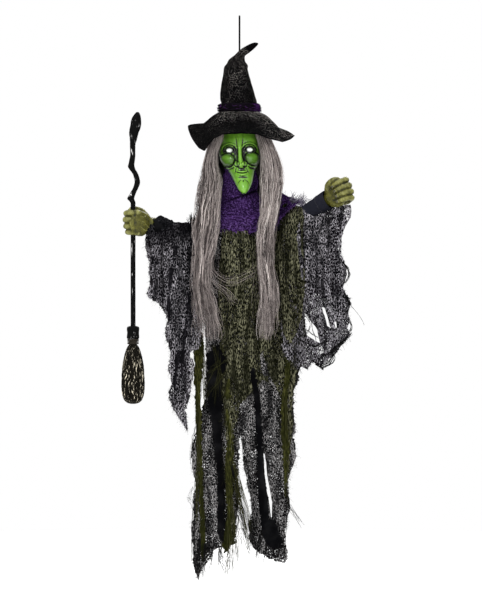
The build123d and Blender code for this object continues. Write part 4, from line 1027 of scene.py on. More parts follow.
# Each net's light colour is painted highlight on its threads, for the olive nets partly their own olive;
# gauze_black_net_back is the black net again with dimmer painted highlight, a shaded copy for the layer behind.
GAUZE = gauze_mat("gauze_black_net", (0.002, 0.002, 0.0023), (0.58, 0.56, 0.56), cell=5.2, thread=0.31, seed=0.31, highlight_share=0.50)
GAUZE_B = gauze_mat("gauze_black_net_back", (0.002, 0.002, 0.0023), (0.10, 0.10, 0.10), cell=5.6, thread=0.33, seed=0.77, highlight_share=0.4)
OLIVE = gauze_mat("gauze_olive_net", (0.004, 0.0043, 0.002), (0.25, 0.245, 0.155), cell=5.4, thread=0.36, seed=0.53, highlight_share=0.62, stretch=2.4)
OLIVE_DENSE = gauze_mat("gauze_olive_strip", (0.009, 0.010, 0.003), (0.075, 0.075, 0.022), cell=4.2, thread=0.62, seed=0.13, highlight_share=0.6, stretch=3.0)
BLACK = cloth_mat("dress_black_cloth", (0.0022, 0.0022, 0.0026), weave=1500, sheen=0.02, vary=0.4)
FRAY_BLACK = thread_mat("fray_black", (0.0015, 0.0015, 0.0015), (0.012, 0.012, 0.012), sheen=0.0)
FRAY_OLIVE = thread_mat("fray_olive", (0.006, 0.0065, 0.002), (0.05, 0.05, 0.02), sheen=0.0)
FRAY_GREY = thread_mat("fray_grey", (0.002, 0.002, 0.002), (0.16, 0.155, 0.155), sheen=0.0)

FRAY_LIGHT = thread_mat("fray_light", (0.05, 0.05, 0.05), (0.34, 0.33, 0.33), sheen=0.0)
WHOLE = [(-598, 0, 90, 79), (-645, 0, 98, 84), (-720, 0, 105, 83), (-800, 0, 108, 80), (-900, 0, 112, 74), (-1000, 2, 116, 67), (-1060, 8, 124, 62), (-1130, 14, 134, 57), (-1190, 14, 137, 52), (-1600, 14, 137, 40)]
LOBE_L = [(-1190, -64, 68, 46), (-1240, -65, 66, 42), (-1300, -66, 64, 38), (-1400, -66, 64, 32), (-1500, -74, 62, 25), (-1560, -92, 48, 19), (-1600, -108, 30, 12)]
LOBE_R = [(-1190, 84, 78, 46), (-1240, 89, 74, 42), (-1300, 92, 66, 36), (-1380, 94, 58, 31), (-1450, 92, 54, 27), (-1500, 90, 52, 22), (-1545, 96, 50, 16)]


def on_body(pts, side, off=0.0, seed=1, fold=1.0):
    """Wraps points of a flat cut (x, z) round the body. side is -1 in front and 1 behind."""
    x, z = np.asarray(pts, float).T
    def depth(rows):
        a = np.clip((x - lerp(z, rows, 1)) / lerp(z, rows, 2), -1, 1)
        return lerp(z, rows, 3) * np.cos(a * math.pi / 2 * 0.93) ** 0.72
    whole = depth(WHOLE)
    lobes = np.where(x < 12 + 0 * z, depth(LOBE_L), depth(LOBE_R))
    k = sstep(-1170, -1290, z)
    y = whole * (1 - k) + lobes * k
    loose = 0.35 + 0.65 * sstep(-640, -1100, z)
    f = 5.5 * vnoise(x / 21.0 + 3 * vnoise(z / 300.0, 0.3, 0, seed), z / 420.0, 0, seed + 1) + 2.6 * vnoise(x / 8.5, z / 230.0, 0, seed + 2) + 1.2 * vnoise(x / 26, z / 33.0, 0, seed + 3)
    y = y + off + f * loose * fold
    dx = 1.5 * vnoise(z / 60.0, x / 60.0, 3.3, seed + 7)
    return np.stack([x + dx, side * y, z + 1.2 * vnoise(x / 17.0, z / 17.0, 1.1, seed + 8)], -1)


def resample(poly, step):
    out = []
    poly = np.asarray(poly, float)
    for a, b in zip(poly, np.roll(poly, -1, 0)):
        n = max(1, int(round(np.linalg.norm(b - a) / step)))
        out.append(a + (b - a) * (np.arange(n) / n)[:, None])
    return np.concatenate(out)


def fringe(name, poly, place, mat, per=0.16, length=(3, 13), rad=0.26, seed=1, below=None, droop=0.5, tint=(0, 1), chunk=9):
    """Loose threads that stick out of a cut's torn edge."""
    rng = np.random.RandomState(seed)
    pts = resample(poly, 1.0)
    tan = np.roll(pts, -3, 0) - np.roll(pts, 3, 0)
    tan /= np.linalg.norm(tan, axis=1, keepdims=True) + 1e-9
    area2 = np.sum(poly[:, 0] * np.roll(poly[:, 1], -1) - np.roll(poly[:, 0], -1) * poly[:, 1])
    nrm = np.stack([tan[:, 1], -tan[:, 0]], 1) * (1 if area2 > 0 else -1)
    cand = np.arange(len(pts)) if below is None else np.nonzero(pts[:, 1] < below)[0]
    pick = rng.choice(cand, max(4, int(len(cand) * per)))
    P, T, R = [], [], []
    t = np.linspace(0, 1, chunk)
    for i in pick:
        L = length[0] + (length[1] - length[0]) * rng.rand() ** 3
        n, g = nrm[i], tan[i]
        side, curl = rng.randn() * 0.45, rng.randn() * 0.35
        p = pts[i] + n * (L * t[:, None] - 2.0) + g * (side * L * t[:, None] + curl * L * t[:, None] ** 2)
        p[:, 1] -= droop * L * t ** 2
        q = place(p)
        q[:, 1] += rng.randn() * 0.4 * L * t ** 2
        P.append(q)
        T.append(tint[0] + (tint[1] - tint[0]) * rng.rand())
        R.append(rad * (0.7 + 0.6 * rng.rand()) * (1 - 0.5 * t))
    return strands(name, np.array(P), np.array(R), mat, 3, tint=T)


def cloth(name, poly, place, mat, step=7.0, holes=(), seed=1, thread_mat_=None, per=0.16, length=(3, 13), body="torso", replaces=(),
          below=None, rests=("torso",), wv_k=1.0, tear=3.0, spikes=5.0, extra=(), attach=None, smooth_from=None, rad=0.26, droop=0.5, lit=None):
    """A torn sheet cut flat, placed by a function, with its loose threads."""
    cut = ragged(poly, 4.0, tear, seed, spikes, smooth_from)
    hs = [ragged(h, 4.0, 1.0, seed + 3 + i) for i, h in enumerate(holes)]
    pts, tris, area = pattern(cut, step, hs, seed)
    v = place(pts)
    rims = np.concatenate([resample(c_, 3.0) for c_ in [cut] + hs])
    rim = np.concatenate([np.exp(-np.sqrt(((pts[k_:k_ + 3000, None] - rims[None]) ** 2).sum(2).min(1)) / 4.0) for k_ in range(0, len(pts), 3000)])
    wv = np.stack([pts[:, 0], pts[:, 1], 0 * pts[:, 0]], -1) * MM * wv_k
    o = make(name, v, tris, mat, attrs={"wv": wv, "rim": rim, "lit": np.clip(lit(pts[:, 0], pts[:, 1]), 0, 1) if lit else np.ones(len(pts))})
    a, b, c = v[tris[:, 0]], v[tris[:, 1]], v[tris[:, 2]]
    real = float(np.linalg.norm(np.cross(b - a, c - a), axis=1).sum() / 2)
    lo, hi = pts.min(0), pts.max(0)
    k = max(1.0, math.sqrt(real / area))
    fr = fringe(name + "_fray", cut, place, thread_mat_ or FRAY_BLACK, per, length, rad=rad, seed=seed + 9, below=below, droop=droop)
    pieces = [fr] + list(extra)
    for p in [o] + pieces:
        if attach:
            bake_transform(p)
        else:
            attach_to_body(p, body)
    share = area * k * k * MM * MM
    axes = np.linalg.svd(pts - pts.mean(0), full_matrices=False)[2]
    ext = np.ptp((pts - pts.mean(0)) @ axes.T, axis=0) * MM * k
    w, h = float(ext[1]), float(ext[0])
    if share < 0.34 * w * h:          # a curved strip is cut straight and hangs in a curve
        w = share / (0.5 * h)
    if replaces:
        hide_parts(*replaces)
    return o


SKIRT = px((205, 229), (204, 300), (206, 352), (205.5, 380), (205, 400), (203, 412), (198, 420), (196, 432), (195.5, 440), (193, 448), (191, 460), (192, 472), (195, 484), (195, 492), (193, 500), (193, 512),
           (194, 520), (192, 528), (191, 536), (193, 550), (193, 562), (194, 570), (196, 578), (198.5, 584), (200.5, 577), (203, 570), (209, 561), (213, 554), (218, 550), (224, 548), (229, 547), (233, 540), (236, 534),
           (236, 526), (238, 510), (240, 500), (239, 488), (237, 480), (239, 472), (239, 464), (239, 452), (240.5, 436), (243, 446), (245, 456), (244, 464), (245, 472), (248, 480), (247, 488), (250, 496), (252, 504),
           (252, 512), (253, 520), (249, 528), (250, 536), (250, 544), (253, 550), (261, 556), (269, 560), (277, 563), (284, 564), (287, 561), (287, 552), (284, 544), (286, 536), (287, 520), (291, 512),
           (290, 504), (288, 492), (289, 480), (291, 472), (295, 464), (297, 456), (296, 448), (293, 440), (296, 432), (295, 424), (294, 408), (294, 392), (298, 384), (299, 372), (303, 360), (308, 340), (305, 318), (303, 290),
           (300, 260), (297, 240), (272, 229))
SLIT = px((263.6, 454), (265.0, 455), (267.8, 478), (270.4, 492), (272.6, 504), (272.2, 520), (270.8, 520), (269.2, 505), (266.6, 490), (264.6, 474))
GAPS = [px((231, 556), (232, 556), (232.5, 562), (231, 562)), px((284, 500), (285.3, 500), (285.6, 514), (284.2, 515)), px((243.5, 430), (245, 428), (246, 438), (244.6, 438))]
# the open strip between the hair's end and the long sleeve, where light comes through
front = cloth("robe_gauze_front", SKIRT, lambda p: on_body(p, -1, 0, 3), GAUZE, 6.6, [SLIT], 101, FRAY_BLACK, per=0.34, length=(3, 13), replaces=("robe_front",), below=-640, smooth_from=-640)
back = cloth("robe_gauze_back", [(x * 1.0 - 1.5, z + 5) for x, z in SKIRT], lambda p: on_body(p, 1, 0, 5), GAUZE_B, 8.0, [SLIT], 102, FRAY_BLACK, per=0.2, replaces=("robe_back",), below=-640, smooth_from=-640)

# solid black cloth under the net: the dress and its long strips
DRESS = px((209, 228), (207, 300), (206, 352), (206, 380), (208, 410), (212, 440), (216, 462), (219, 485), (222, 500), (224.5, 486), (224.5, 460), (224, 430), (226, 404), (232, 388), (243, 378), (250, 384),
           (254, 410), (259, 440), (263, 470), (264, 500), (265, 530), (268, 545), (276, 552), (280, 544), (280, 530), (276, 516), (272, 496), (269, 470), (267, 440), (265, 412), (270, 392), (280, 372), (288, 350), (291, 300), (290, 228))
dress_f = cloth("dress_front", DRESS, lambda p: on_body(p, -1, -9, 7, 0.7), BLACK, 8.0, [SLIT], 103, FRAY_BLACK, per=0.1, replaces=("underdress",), smooth_from=-640, tear=2.0, spikes=3)
DRESS_B = px((209, 228), (206, 352), (208, 410), (212, 440), (214, 420), (226, 404), (243, 400), (262, 410), (268, 440), (272, 410), (282, 372), (290, 350), (290, 228))
dress_b = cloth("dress_back", DRESS_B, lambda p: on_body(p, 1, -9, 8, 0.7), BLACK, 9.0, [], 104, FRAY_BLACK, per=0.1, smooth_from=-640, tear=3.0, spikes=4)

# olive net over the front
OVER = px((222, 231), (219, 270), (216, 320), (220, 345), (222, 380), (224, 410), (226, 440), (225, 470), (229, 505), (230.5, 548), (236, 545), (233, 505), (231, 470), (233, 430), (240, 405), (252, 392), (263, 380), (274, 384),
          (283, 404), (286, 440), (289, 474), (292, 440), (293, 400), (297, 372), (302, 340), (301, 290), (299, 250), (296, 231))
over = cloth("olive_net_front", OVER, lambda p: on_body(p, -1, 7, 9, 0.9), OLIVE, 6.6, [], 105, FRAY_OLIVE, per=0.42, length=(3, 12), replaces=("olive_overlay",), below=-660, smooth_from=-650)
STRIP_A = px((195, 330), (193.5, 352), (195, 392), (196, 430), (198, 470), (198.5, 500), (199, 530), (200, 556), (202, 564), (204.5, 552), (204, 520), (203, 490), (202, 460), (201, 430), (200.5, 400), (203, 360), (203.5, 334))
strip_a = cloth("olive_strip_broom_side", STRIP_A, lambda p: on_body(p, -1, 10, 11, 0.8), OLIVE_DENSE, 5.5, [], 106, FRAY_OLIVE, per=0.3, length=(3, 12))
STRIP_B = px((226, 380), (225.5, 420), (227, 440), (225.5, 480), (227, 520), (222, 540), (223.5, 556), (228, 552), (231.5, 540), (232, 500), (234, 466), (232, 430), (230, 380))
strip_b = cloth("olive_strip_middle", STRIP_B, lambda p: on_body(p, -1, 12, 12, 0.8), OLIVE_DENSE, 5.5, [], 107, FRAY_OLIVE, per=0.4, length=(3, 22))
STRIP_C = px((287, 330), (284, 380), (281, 410), (281.5, 440), (284, 470), (285, 500), (288.5, 470), (289, 440), (288, 410), (290, 380), (292.5, 330))
strip_c = cloth("olive_strip_free_side", STRIP_C, lambda p: on_body(p, -1, 11, 13, 0.8), OLIVE_DENSE, 5.5, [], 108, FRAY_OLIVE, per=0.3, length=(3, 16))
STRIP_D = px((207, 354), (206.5, 380), (207.5, 400), (210, 415), (214, 440), (216, 462), (217.5, 485), (218, 505), (217, 525), (219, 540), (223, 545), (225, 530), (225, 505), (224.5, 480), (223, 455), (222, 430), (222, 405), (224, 385), (226, 360), (218, 345))
strip_d = cloth("black_strip_broom_side", STRIP_D, lambda p: on_body(p, -1, 9, 14, 0.8), BLACK, 6.0, [], 109, FRAY_BLACK, per=0.5, length=(2, 9), tear=1.6)
STRIP_E = px((250, 372), (254, 395), (255.5, 420), (256.5, 450), (257.5, 480), (259, 510), (262, 530), (266, 545), (273, 551), (281, 549), (283, 543), (278, 532), (274, 521), (269.5, 521), (267.3, 500), (264.8, 478), (263.2, 455), (262, 430), (260.5, 405), (258, 385), (254, 366))
strip_e = cloth("black_strip_free_side", STRIP_E, lambda p: on_body(p, -1, 9, 15, 0.8), BLACK, 6.0, [], 110, FRAY_BLACK, per=0.5, length=(2, 9), tear=1.2)


def loose(name, ends, mat, n, seed, spread=5.0, rad=0.60, off=8.0, body="torso", wig=4.0):
    """Long single threads hanging between two points given in the outline grid."""
    rng_ = np.random.RandomState(seed)
    P_, R_, T_ = [], [], []
    t_ = np.linspace(0, 1, 26)
    for k_ in range(n):
        (xa, za), (xb, zb) = px(*ends[k_ % len(ends)])
        o1, o2 = rng_.randn(2) * spread
        x_ = xa + o1 + (xb + o2 - xa - o1) * t_ + wig * vnoise(t_ * 3.1, k_ * 1.7, 0, seed) * np.sin(t_ * math.pi)
        z_ = za + (zb + rng_.randn() * 12 - za) * t_
        P_.append(on_body(np.stack([x_, z_], 1), -1, off + 3 * rng_.rand(), seed + 2, 0.7))
        R_.append(rad * (0.7 + 0.5 * rng_.rand()) * (1 - 0.4 * t_))
        T_.append(rng_.rand())
    o_ = strands(name, np.array(P_), np.array(R_), mat, 3, tint=T_)
    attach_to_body(o_, body)
    return o_


loose("threads_middle", [((233, 462), (249, 548)), ((234, 478), (244, 530)), ((232, 500), (238, 566)), ((229, 520), (226, 578)), ((231, 530), (233, 572)), ((236, 470), (252, 530))], FRAY_OLIVE, 64, 121, 3.5)
loose("threads_hem_broom_side", [((199, 540), (197, 580)), ((205, 545), (203, 577)), ((214, 540), (210, 566)), ((194, 500), (192.5, 560))], FRAY_BLACK, 70, 122, 4.0)
loose("threads_hem_free_side", [((262, 530), (258, 556)), ((250, 515), (253, 552)), ((276, 540), (272, 562)), ((284, 540), (285, 563)), ((287, 490), (286, 548)), ((262, 534), (256, 560)), ((253, 520), (258, 558)), ((280, 545), (278, 566)), ((288, 506), (301, 527)), ((268, 545), (264, 565))], FRAY_BLACK, 84, 123, 3.5)
loose("threads_side_strips", [((196, 335), (196, 420)), ((200, 350), (198, 470)), ((203, 345), (204, 400)), ((197, 420), (196, 520)), ((286, 400), (287, 500))], FRAY_OLIVE, 60, 124, 3.0)
loose("threads_over_dress", [((224, 350), (205, 385)), ((222, 345), (212, 400)), ((226, 360), (208, 372)), ((214, 345), (224, 395)), ((219, 350), (217, 390)), ((228, 370), (206, 398))], FRAY_OLIVE, 34, 125, 4.0, rad=0.4, off=11)
loose("threads_gap_dark", [((231, 462), (253, 552)), ((233, 470), (247, 540)), ((236, 500), (243, 520)), ((238, 517), (240, 560)), ((242, 530), (250, 556)), ((228, 545), (229, 572)), ((219, 550), (225, 574)), ((222, 548), (219, 570)), ((243, 440), (250, 486))], FRAY_BLACK, 72, 128, 3.2, rad=0.72, wig=9.0)
loose("threads_edge_broom_side", [((192.5, 488), (187.5, 500)), ((187.5, 499), (193, 509)), ((193, 440), (190, 470)), ((195, 428), (191, 452))], FRAY_BLACK, 16, 127, 2.0, rad=0.5)
SHOULDER = px((276, 212), (274, 240), (275, 300), (280, 340), (286, 352), (292, 336), (297, 300), (301, 250), (305, 216), (300, 204), (290, 203))


# ---------------------------------------------------------------- cowl
def cowl_cloth(m_name, off, seed, top, bottom, tone):
    nq_, nt_ = 150, 84
    Q, T = np.meshgrid(np.arange(nq_) * TAU / nq_, np.linspace(0, 1, nt_), indexing="ij")
    zb = bottom + 44 * sstep(0.25, -0.45, np.sin(Q)) + 16 * fbm(np.cos(Q) * 3, np.sin(Q) * 3, 0, seed) + 9 * vnoise(Q * 9, 0.5, 0, seed + 1)
    z = top + (zb - top) * T
    r0 = lerp(z, [(-424, 43), (-470, 46), (-505, 50), (-526, 58), (-545, 74), (-561, 86), (-600, 89), (-700, 90)])
    fl = 4.2 * np.sin(z / 9.0 + 2.6 * np.cos(Q + 0.7) + 2 * fbm(np.cos(Q) * 1.5, np.sin(Q) * 1.5, z / 90, seed + 2)) * (0.35 + 0.65 * np.exp(-((z + 500) / 50) ** 2))
    fl += 3.5 * fbm(np.cos(Q) * 5, np.sin(Q) * 5, z / 150, seed + 3) + 1.3 * fbm(np.cos(Q) * 16, np.sin(Q) * 16, z / 60, seed + 4)
    diag = (z + 525) - (np.sin(Q)) * 0 - 60 * np.cos(Q) * 0.35
    front_k = sstep(0.2, -0.4, np.sin(Q))
    x = (r0 + fl + off) * np.cos(Q)
    line = -505 + 0.36 * (x - 10)
    crease = np.exp(-((z - line) / 3.0) ** 2) * front_k * sstep(-40, -25, x)
    ridge = np.exp(-((z - line - 7.5) / 4.5) ** 2) * front_k * sstep(-40, -25, x)
    r = r0 + fl + off + 4.5 * ridge - 4.5 * crease
    ry = np.where(np.sin(Q) < 0, lerp(z, [(-424, 1.02), (-526, 1.0), (-700, 0.98)]), 1.0)
    v = np.stack([1 + r * np.cos(Q), r * ry * np.sin(Q), z], -1)
    wv = np.stack([Q * 0.075, z * MM, 0 * Q], -1).reshape(-1, 3)
    o = make(m_name, v.reshape(-1, 3), quads(nt_, nq_, closed=True)[:, ::-1] * 0, tone) if False else None
    V = v.transpose(1, 0, 2).reshape(-1, 3)
    W = np.stack([Q * 0.075, z * MM, 0 * Q], -1).transpose(1, 0, 2).reshape(-1, 3)
    keep = quads(nt_, nq_, closed=True)
    # crease attribute: painted shade along the crease line and in the hollows between folds
    o = make(m_name, V, keep, tone, attrs={"wv": W, "crease": np.clip(crease + 0.4 * np.clip(-fl / 5, 0, 1), 0, 1).T.ravel()})
    a, b, c, d_ = (V[keep[:, i]] for i in range(4))
    real = float((np.linalg.norm(np.cross(b - a, c - a), axis=1) + np.linalg.norm(np.cross(c - a, d_ - a), axis=1)).sum() / 2) * 1e-6
    return o, real


def purple_mat(name, open_=False):
    m = Mat(name)
    wv = m.attr("wv", "Vector")
    net = m.voronoi(430, "DISTANCE_TO_EDGE", wv, 0.9, "2D")
    th = m.mapr(m.noise(210, 3, 0.6, src=wv), 0.46, 0.66)
    line = m.math("MULTIPLY", m.math("LESS_THAN", net, 0.22), th)
    base = m.ramp(m.noise(34, 3), (0.3, (0.005, 0.0015, 0.010)), (0.55, (0.012, 0.004, 0.024)), (0.8, (0.028, 0.010, 0.055)))
    col = m.mix(line, base, (0.11, 0.055, 0.21))
    # painted shade: darker purple where the crease attribute is high
    col = m.mix(m.mapr(m.attr("crease"), 0.2, 0.8, 0.0, 0.9), col, (0.006, 0.003, 0.010))
    m.set(Base_Color=col, Roughness=m.mapr(net, 0, 0.5, 0.8, 1.0), Specular_IOR_Level=0.0)
    if open_:
        m.put(m.b.inputs["Alpha"], m.math("LESS_THAN", net, m.mapr(m.noise(60, 3, src=wv), 0.35, 0.65, 0.5, 0.16)))
    m.bump(m.math("SUBTRACT", 0.5, net), 0.5, 0.0009)
    return m.m


PURPLE, PURPLE_NET = purple_mat("cowl_purple_gauze"), purple_mat("cowl_purple_net", True)
c1, a1 = cowl_cloth("cowl_gauze", 0, 201, -426, -648, PURPLE)
c2, a2 = cowl_cloth("cowl_gauze_over", 3.2, 211, -440, -640, PURPLE_NET)
for o, ar, nm in ((c1, a1, 1), (c2, a2, 2)):
    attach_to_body(o, "torso")
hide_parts("cowl")
rng = np.random.RandomState(8)
P, R, T = [], [], []
t = np.linspace(0, 1, 10)
for k in range(420):
    q = rng.rand() * TAU
    L = 5 + 16 * rng.rand() ** 2
    z0 = -640 + 44 * float(sstep(0.25, -0.45, math.sin(q))) + 18 * rng.randn() * 0.6
    r = 90 + 2.5 * rng.rand()
    dq = rng.randn() * 0.06
    P.append(np.stack([1 + (r + 1.5 * t) * np.cos(q + dq * t), (r + 1.5 * t) * np.sin(q + dq * t), z0 + 8 - L * t], -1))
    R.append(0.28 * (1 - 0.5 * t))
    T.append(rng.rand())
FRAY_PURPLE = thread_mat("fray_purple", (0.02, 0.008, 0.035), (0.22, 0.12, 0.36), sheen=0.0)
cf = strands("cowl_fray", np.array(P), np.array(R), FRAY_PURPLE, 3, tint=T)
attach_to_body(cf, "torso")

# ---------------------------------------------------------------- sleeves
class Arm:
    """The frame of one arm: d0 is level and outwards, d is along the arm, a is the face turned to the front."""

    def __init__(self, side):
        s = -1 if side == "broom" else 1
        c, n = math.cos(math.radians(30)), math.sin(math.radians(30))
        up = math.radians(0.5 if side == "broom" else 24.5)
        self.side = side
        self.P = np.array([100.0 * s, 0, -596])
        self.d0 = np.array([s * c, -n, 0])
        self.a = np.array([-s * n, -c, 0]) * (1 if s > 0 else 1)
        self.a = np.array([n * 1.0 * (1 if s < 0 else -1), -c, 0])
        self.d = self.d0 * math.cos(up) + np.array([0, 0, math.sin(up)])
        self.u = -self.d0 * math.sin(up) + np.array([0, 0, math.cos(up)])
        self.up = up
        self.L = 166.0 if side == "broom" else 184.0

    def axis_z(self, s):
        return -596 + np.asarray(s) * math.tan(self.up)

    def x_to_s(self, x):
        return (abs(x) - 100) / abs(self.d0[0])


def on_arm(arm, pts, face, off=0.0, seed=1, fold=1.0, gather_from=None, R=20.0, width=37.5, top=None):
    s, z = np.asarray(pts, float).T
    h = z - arm.axis_z(s)
    low = R + (width - R) * sstep(0, -75, h)
    o = np.where(h >= 0, np.sqrt(np.maximum(R * R - np.minimum(h, R) ** 2, 0)), low)
    if gather_from is not None:
        tz = top(s)
        o = o * (1 - 0.8 * sstep(gather_from, gather_from + 38, s) * (1 - sstep(0, 75, tz - z)))
    k = sstep(8, -60, h)
    f = 4.6 * vnoise((s + 0.15 * (z + 600)) / 24.0, z / 330.0, 0, seed + 1) + 3.4 * vnoise((s + 0.1 * z) / 10.5, z / 240.0, 0, seed + 2) + 1.2 * vnoise(s / 26, z / 30.0, 0, seed + 3)
    o = o + (off + f * fold * k) + 0.8 * vnoise(s / 9.0, z / 9.0, 0, seed + 5)
    o = np.maximum(o, 0.5)
    base = arm.P[None] + arm.d0[None] * s[:, None]
    base[:, 2] = z
    return base + arm.a[None] * (face * o)[:, None]


def s_poly(arm, points, face=1):
    """Points of the outline grid as (distance along the arm, height) on the front or back layer of a sleeve."""
    out = []
    for x, y in points:
        x, z = (x - 239.5) * 2.79, (14 - y) * 2.79
        s = arm.x_to_s(x)
        for _ in range(4):
            h = z - arm.axis_z(s)
            o = 20 + 17.5 * float(sstep(0, -75, h)) if h < 0 else math.sqrt(max(400 - h * h, 0))
            s = (x - arm.P[0] - arm.a[0] * face * o) / arm.d0[0]
        out.append((s, z))
    return out


def arm_blend(arm):
    down = -arm.u
    s = arm.P + arm.d * 100 + down * 4
    e = s + down * 80
    return (f"arm_{arm.side}", f"drape_{arm.side}", tuple(s * MM), tuple(e * MM))


BA, FA = Arm("broom"), Arm("free")
# sleeve nets: the light colour is painted highlight on the threads, dim on the inner lining
SG = gauze_mat("sleeve_net", (0.002, 0.002, 0.0026), (0.62, 0.59, 0.64), cell=6.2, thread=0.33, seed=0.91, highlight_share=0.52, open_at=(0.50, 0.72))
SG_IN = gauze_mat("sleeve_net_inner", (0.003, 0.003, 0.0035), (0.05, 0.045, 0.055), cell=4.6, thread=0.62, seed=0.22, highlight_share=0.3, open_at=(0.62, 0.9), closed=0.05)

# the broom side: front layer's outline, x falls to the left
BS_PX = ([(203.5, 222), (195, 222.4), (185, 222.6), (172, 222), (166, 219.5), (158, 218.5), (151.5, 221), (147, 230), (145.5, 240), (146, 248), (148, 256), (150, 264), (149, 272), (151, 280), (150, 288), (147, 294),
                 (150, 298), (161, 304), (166, 312), (168, 320), (165.5, 328), (166, 336), (169, 344), (171, 352), (170, 360), (168.5, 368), (171, 376), (172, 384), (169, 392), (171, 400), (174, 408), (177, 416), (183, 424), (187.4, 431),
                 (188, 424), (187, 416), (184, 409), (187, 400), (190, 392), (193, 376), (194, 364), (190, 354), (193, 350), (198, 349), (201, 340), (203.5, 318)])
BS = s_poly(BA, BS_PX)
BS = [(max(s, 24), min(z, BA.axis_z(s) + 19.5)) for s, z in BS]
# lit is painted light here: the net's painted highlight fades out towards the top of the sleeve, leaving it in painted
# shade
b_front = cloth("sleeve_front_broom_side", BS, lambda p: on_arm(BA, p, 1, 0, 301), SG, 6.8, [], 301, FRAY_GREY, per=0.4, length=(3, 12), below=-625, smooth_from=-620, attach=arm_blend(BA), replaces=("broom_sleeve_drape",), tear=2.2, spikes=4, lit=lambda s_, z_: 0.15 + 0.85 * sstep(-612, -660, z_ + 14 * vnoise(s_ / 30, 0.5, 0, 66)))
BS_BACK = [(max(s + 3 * math.sin(z / 31.0), 24), min(z, BA.axis_z(s) + 19.5) - (8 * math.sin(s / 13.0) + 6 if z < -640 else 0)) for s, z in s_poly(BA, BS_PX, -1)]
b_back = cloth("sleeve_back_broom_side", BS_BACK, lambda p: on_arm(BA, p, -1, 0, 311), SG, 8.0, [], 302, FRAY_BLACK, per=0.2, below=-625, smooth_from=-620, attach=arm_blend(BA), tear=3.0)
BS_IN = s_poly(BA, [(203, 224), (185, 225), (166, 223), (153, 224), (148.5, 234), (149, 250), (152, 264), (152, 280), (152, 292), (163, 302), (169, 316), (169, 336), (173, 352), (172, 372), (174, 392), (176, 404), (181, 412), (184, 402), (188, 384), (190, 364), (188, 350), (196, 344), (201, 330), (203, 300)])
BS_IN = [(max(s, 25), min(z, BA.axis_z(s) + 17)) for s, z in BS_IN]
b_in = cloth("sleeve_lining_broom_side", BS_IN, lambda p: on_arm(BA, p, 1, -4.5, 321, R=20), SG_IN, 8.0, [], 303, FRAY_BLACK, per=0.2, below=-640, smooth_from=-620, attach=arm_blend(BA), tear=3.0)

# the free side
TOPX = [(282, 202), (290, 202.5), (297, 205), (303, 206.5), (307, 213), (311, 216.5), (318, 213.5), (326, 210.5), (333, 207.5), (340, 205.5), (346, 205)]
FS_PX = TOPX + [(347, 212), (348, 218), (345, 226), (342, 234), (340, 248), (341, 256), (345, 264), (346, 276), (343, 288), (346, 296), (351, 303), (347, 311), (350, 320), (347, 328), (350, 335), (342, 343),
                        (335.5, 351), (327, 359), (321, 367), (314, 362), (309, 368), (303.5, 363), (298, 369), (293, 364), (288, 358), (284, 352), (282, 330)]
FS = [(max(s, 27), z) for s, z in s_poly(FA, FS_PX)]
tx = np.array(sorted(s_poly(FA, TOPX)))
f_top = lambda s: np.interp(s, tx[:, 0], tx[:, 1])
FH_PX = [[(302.5, 321), (306, 312), (309, 317), (312.5, 323), (317.5, 330), (320.5, 343), (315, 341), (308, 336), (303, 338)],
         [(321.5, 307), (325.5, 308), (328.5, 320), (331, 328.5), (327, 326), (323.5, 315)], [(333.6, 323), (337, 320.5), (338, 327), (335, 329)],
         [(300.5, 296), (303.5, 293), (304, 303), (301.5, 306)], [(316, 349), (321, 346), (323, 352), (318, 355)]]
FH, FHB = [s_poly(FA, h) for h in FH_PX], [s_poly(FA, h, -1) for h in FH_PX]
f_kw = dict(gather_from=104, top=f_top)
f_front = cloth("sleeve_front_free_side", FS, lambda p: on_arm(FA, p, 1, 0, 331, **f_kw), SG, 6.8, FH, 304, FRAY_GREY, per=0.4, length=(3, 13), below=-640, smooth_from=-590, attach=arm_blend(FA), replaces=("free_sleeve_drape",), tear=2.4, spikes=5)
FS_BACK = [(max(s - 3 * math.sin(z / 27.0), 27), z + (7 * math.sin(s / 15.0) - 4 if z < -640 else 0)) for s, z in s_poly(FA, FS_PX, -1)]
f_back = cloth("sleeve_back_free_side", FS_BACK, lambda p: on_arm(FA, p, -1, 0, 341, **f_kw), SG, 8.0, FHB[:4], 305, FRAY_BLACK, per=0.2, below=-640, smooth_from=-590, attach=arm_blend(FA), tear=3.0)
FS_IN = s_poly(FA, [(283, 204), (297, 208), (302, 210), (307, 218), (312, 221), (326, 217), (340, 214), (344, 222), (338, 240), (337, 256), (341, 270), (339, 290), (344, 300), (342, 320), (332, 316), (330, 300), (320, 298), (316, 292), (306, 296), (300, 306), (296, 330), (290, 340), (283, 330)])
FS_IN = [(max(s, 28), z) for s, z in FS_IN]
f_in = cloth("sleeve_lining_free_side", FS_IN, lambda p: on_arm(FA, p, 1, -4.5, 351, **f_kw), SG_IN, 8.0, [], 306, FRAY_BLACK, per=0.2, below=-640, smooth_from=-590, attach=arm_blend(FA), tear=3.0)

# olive gauze over the free side's shoulder, riding the arm
OS = s_poly(FA, [(283, 202.6), (290, 202.8), (297, 205.5), (303, 207.5), (305, 222), (304, 260), (305, 290), (301, 320), (296, 336), (290, 344), (284, 330)])
OS = [(max(s, 27), z) for s, z in OS]
o_sh = cloth("olive_net_shoulder", OS, lambda p: on_arm(FA, p, 1, 3.5, 361), OLIVE, 6.6, [], 307, FRAY_OLIVE, per=0.4, below=-600, smooth_from=-580, attach=arm_blend(FA), tear=2.4)
# frayed purple gauze over the same shoulder
PS = [(-8, -486), (12, -491), (30, -500), (50, -509), (70, -516), (86, -522), (79, -531), (60, -542), (40, -562), (24, -586), (12, -604), (-8, -606)]


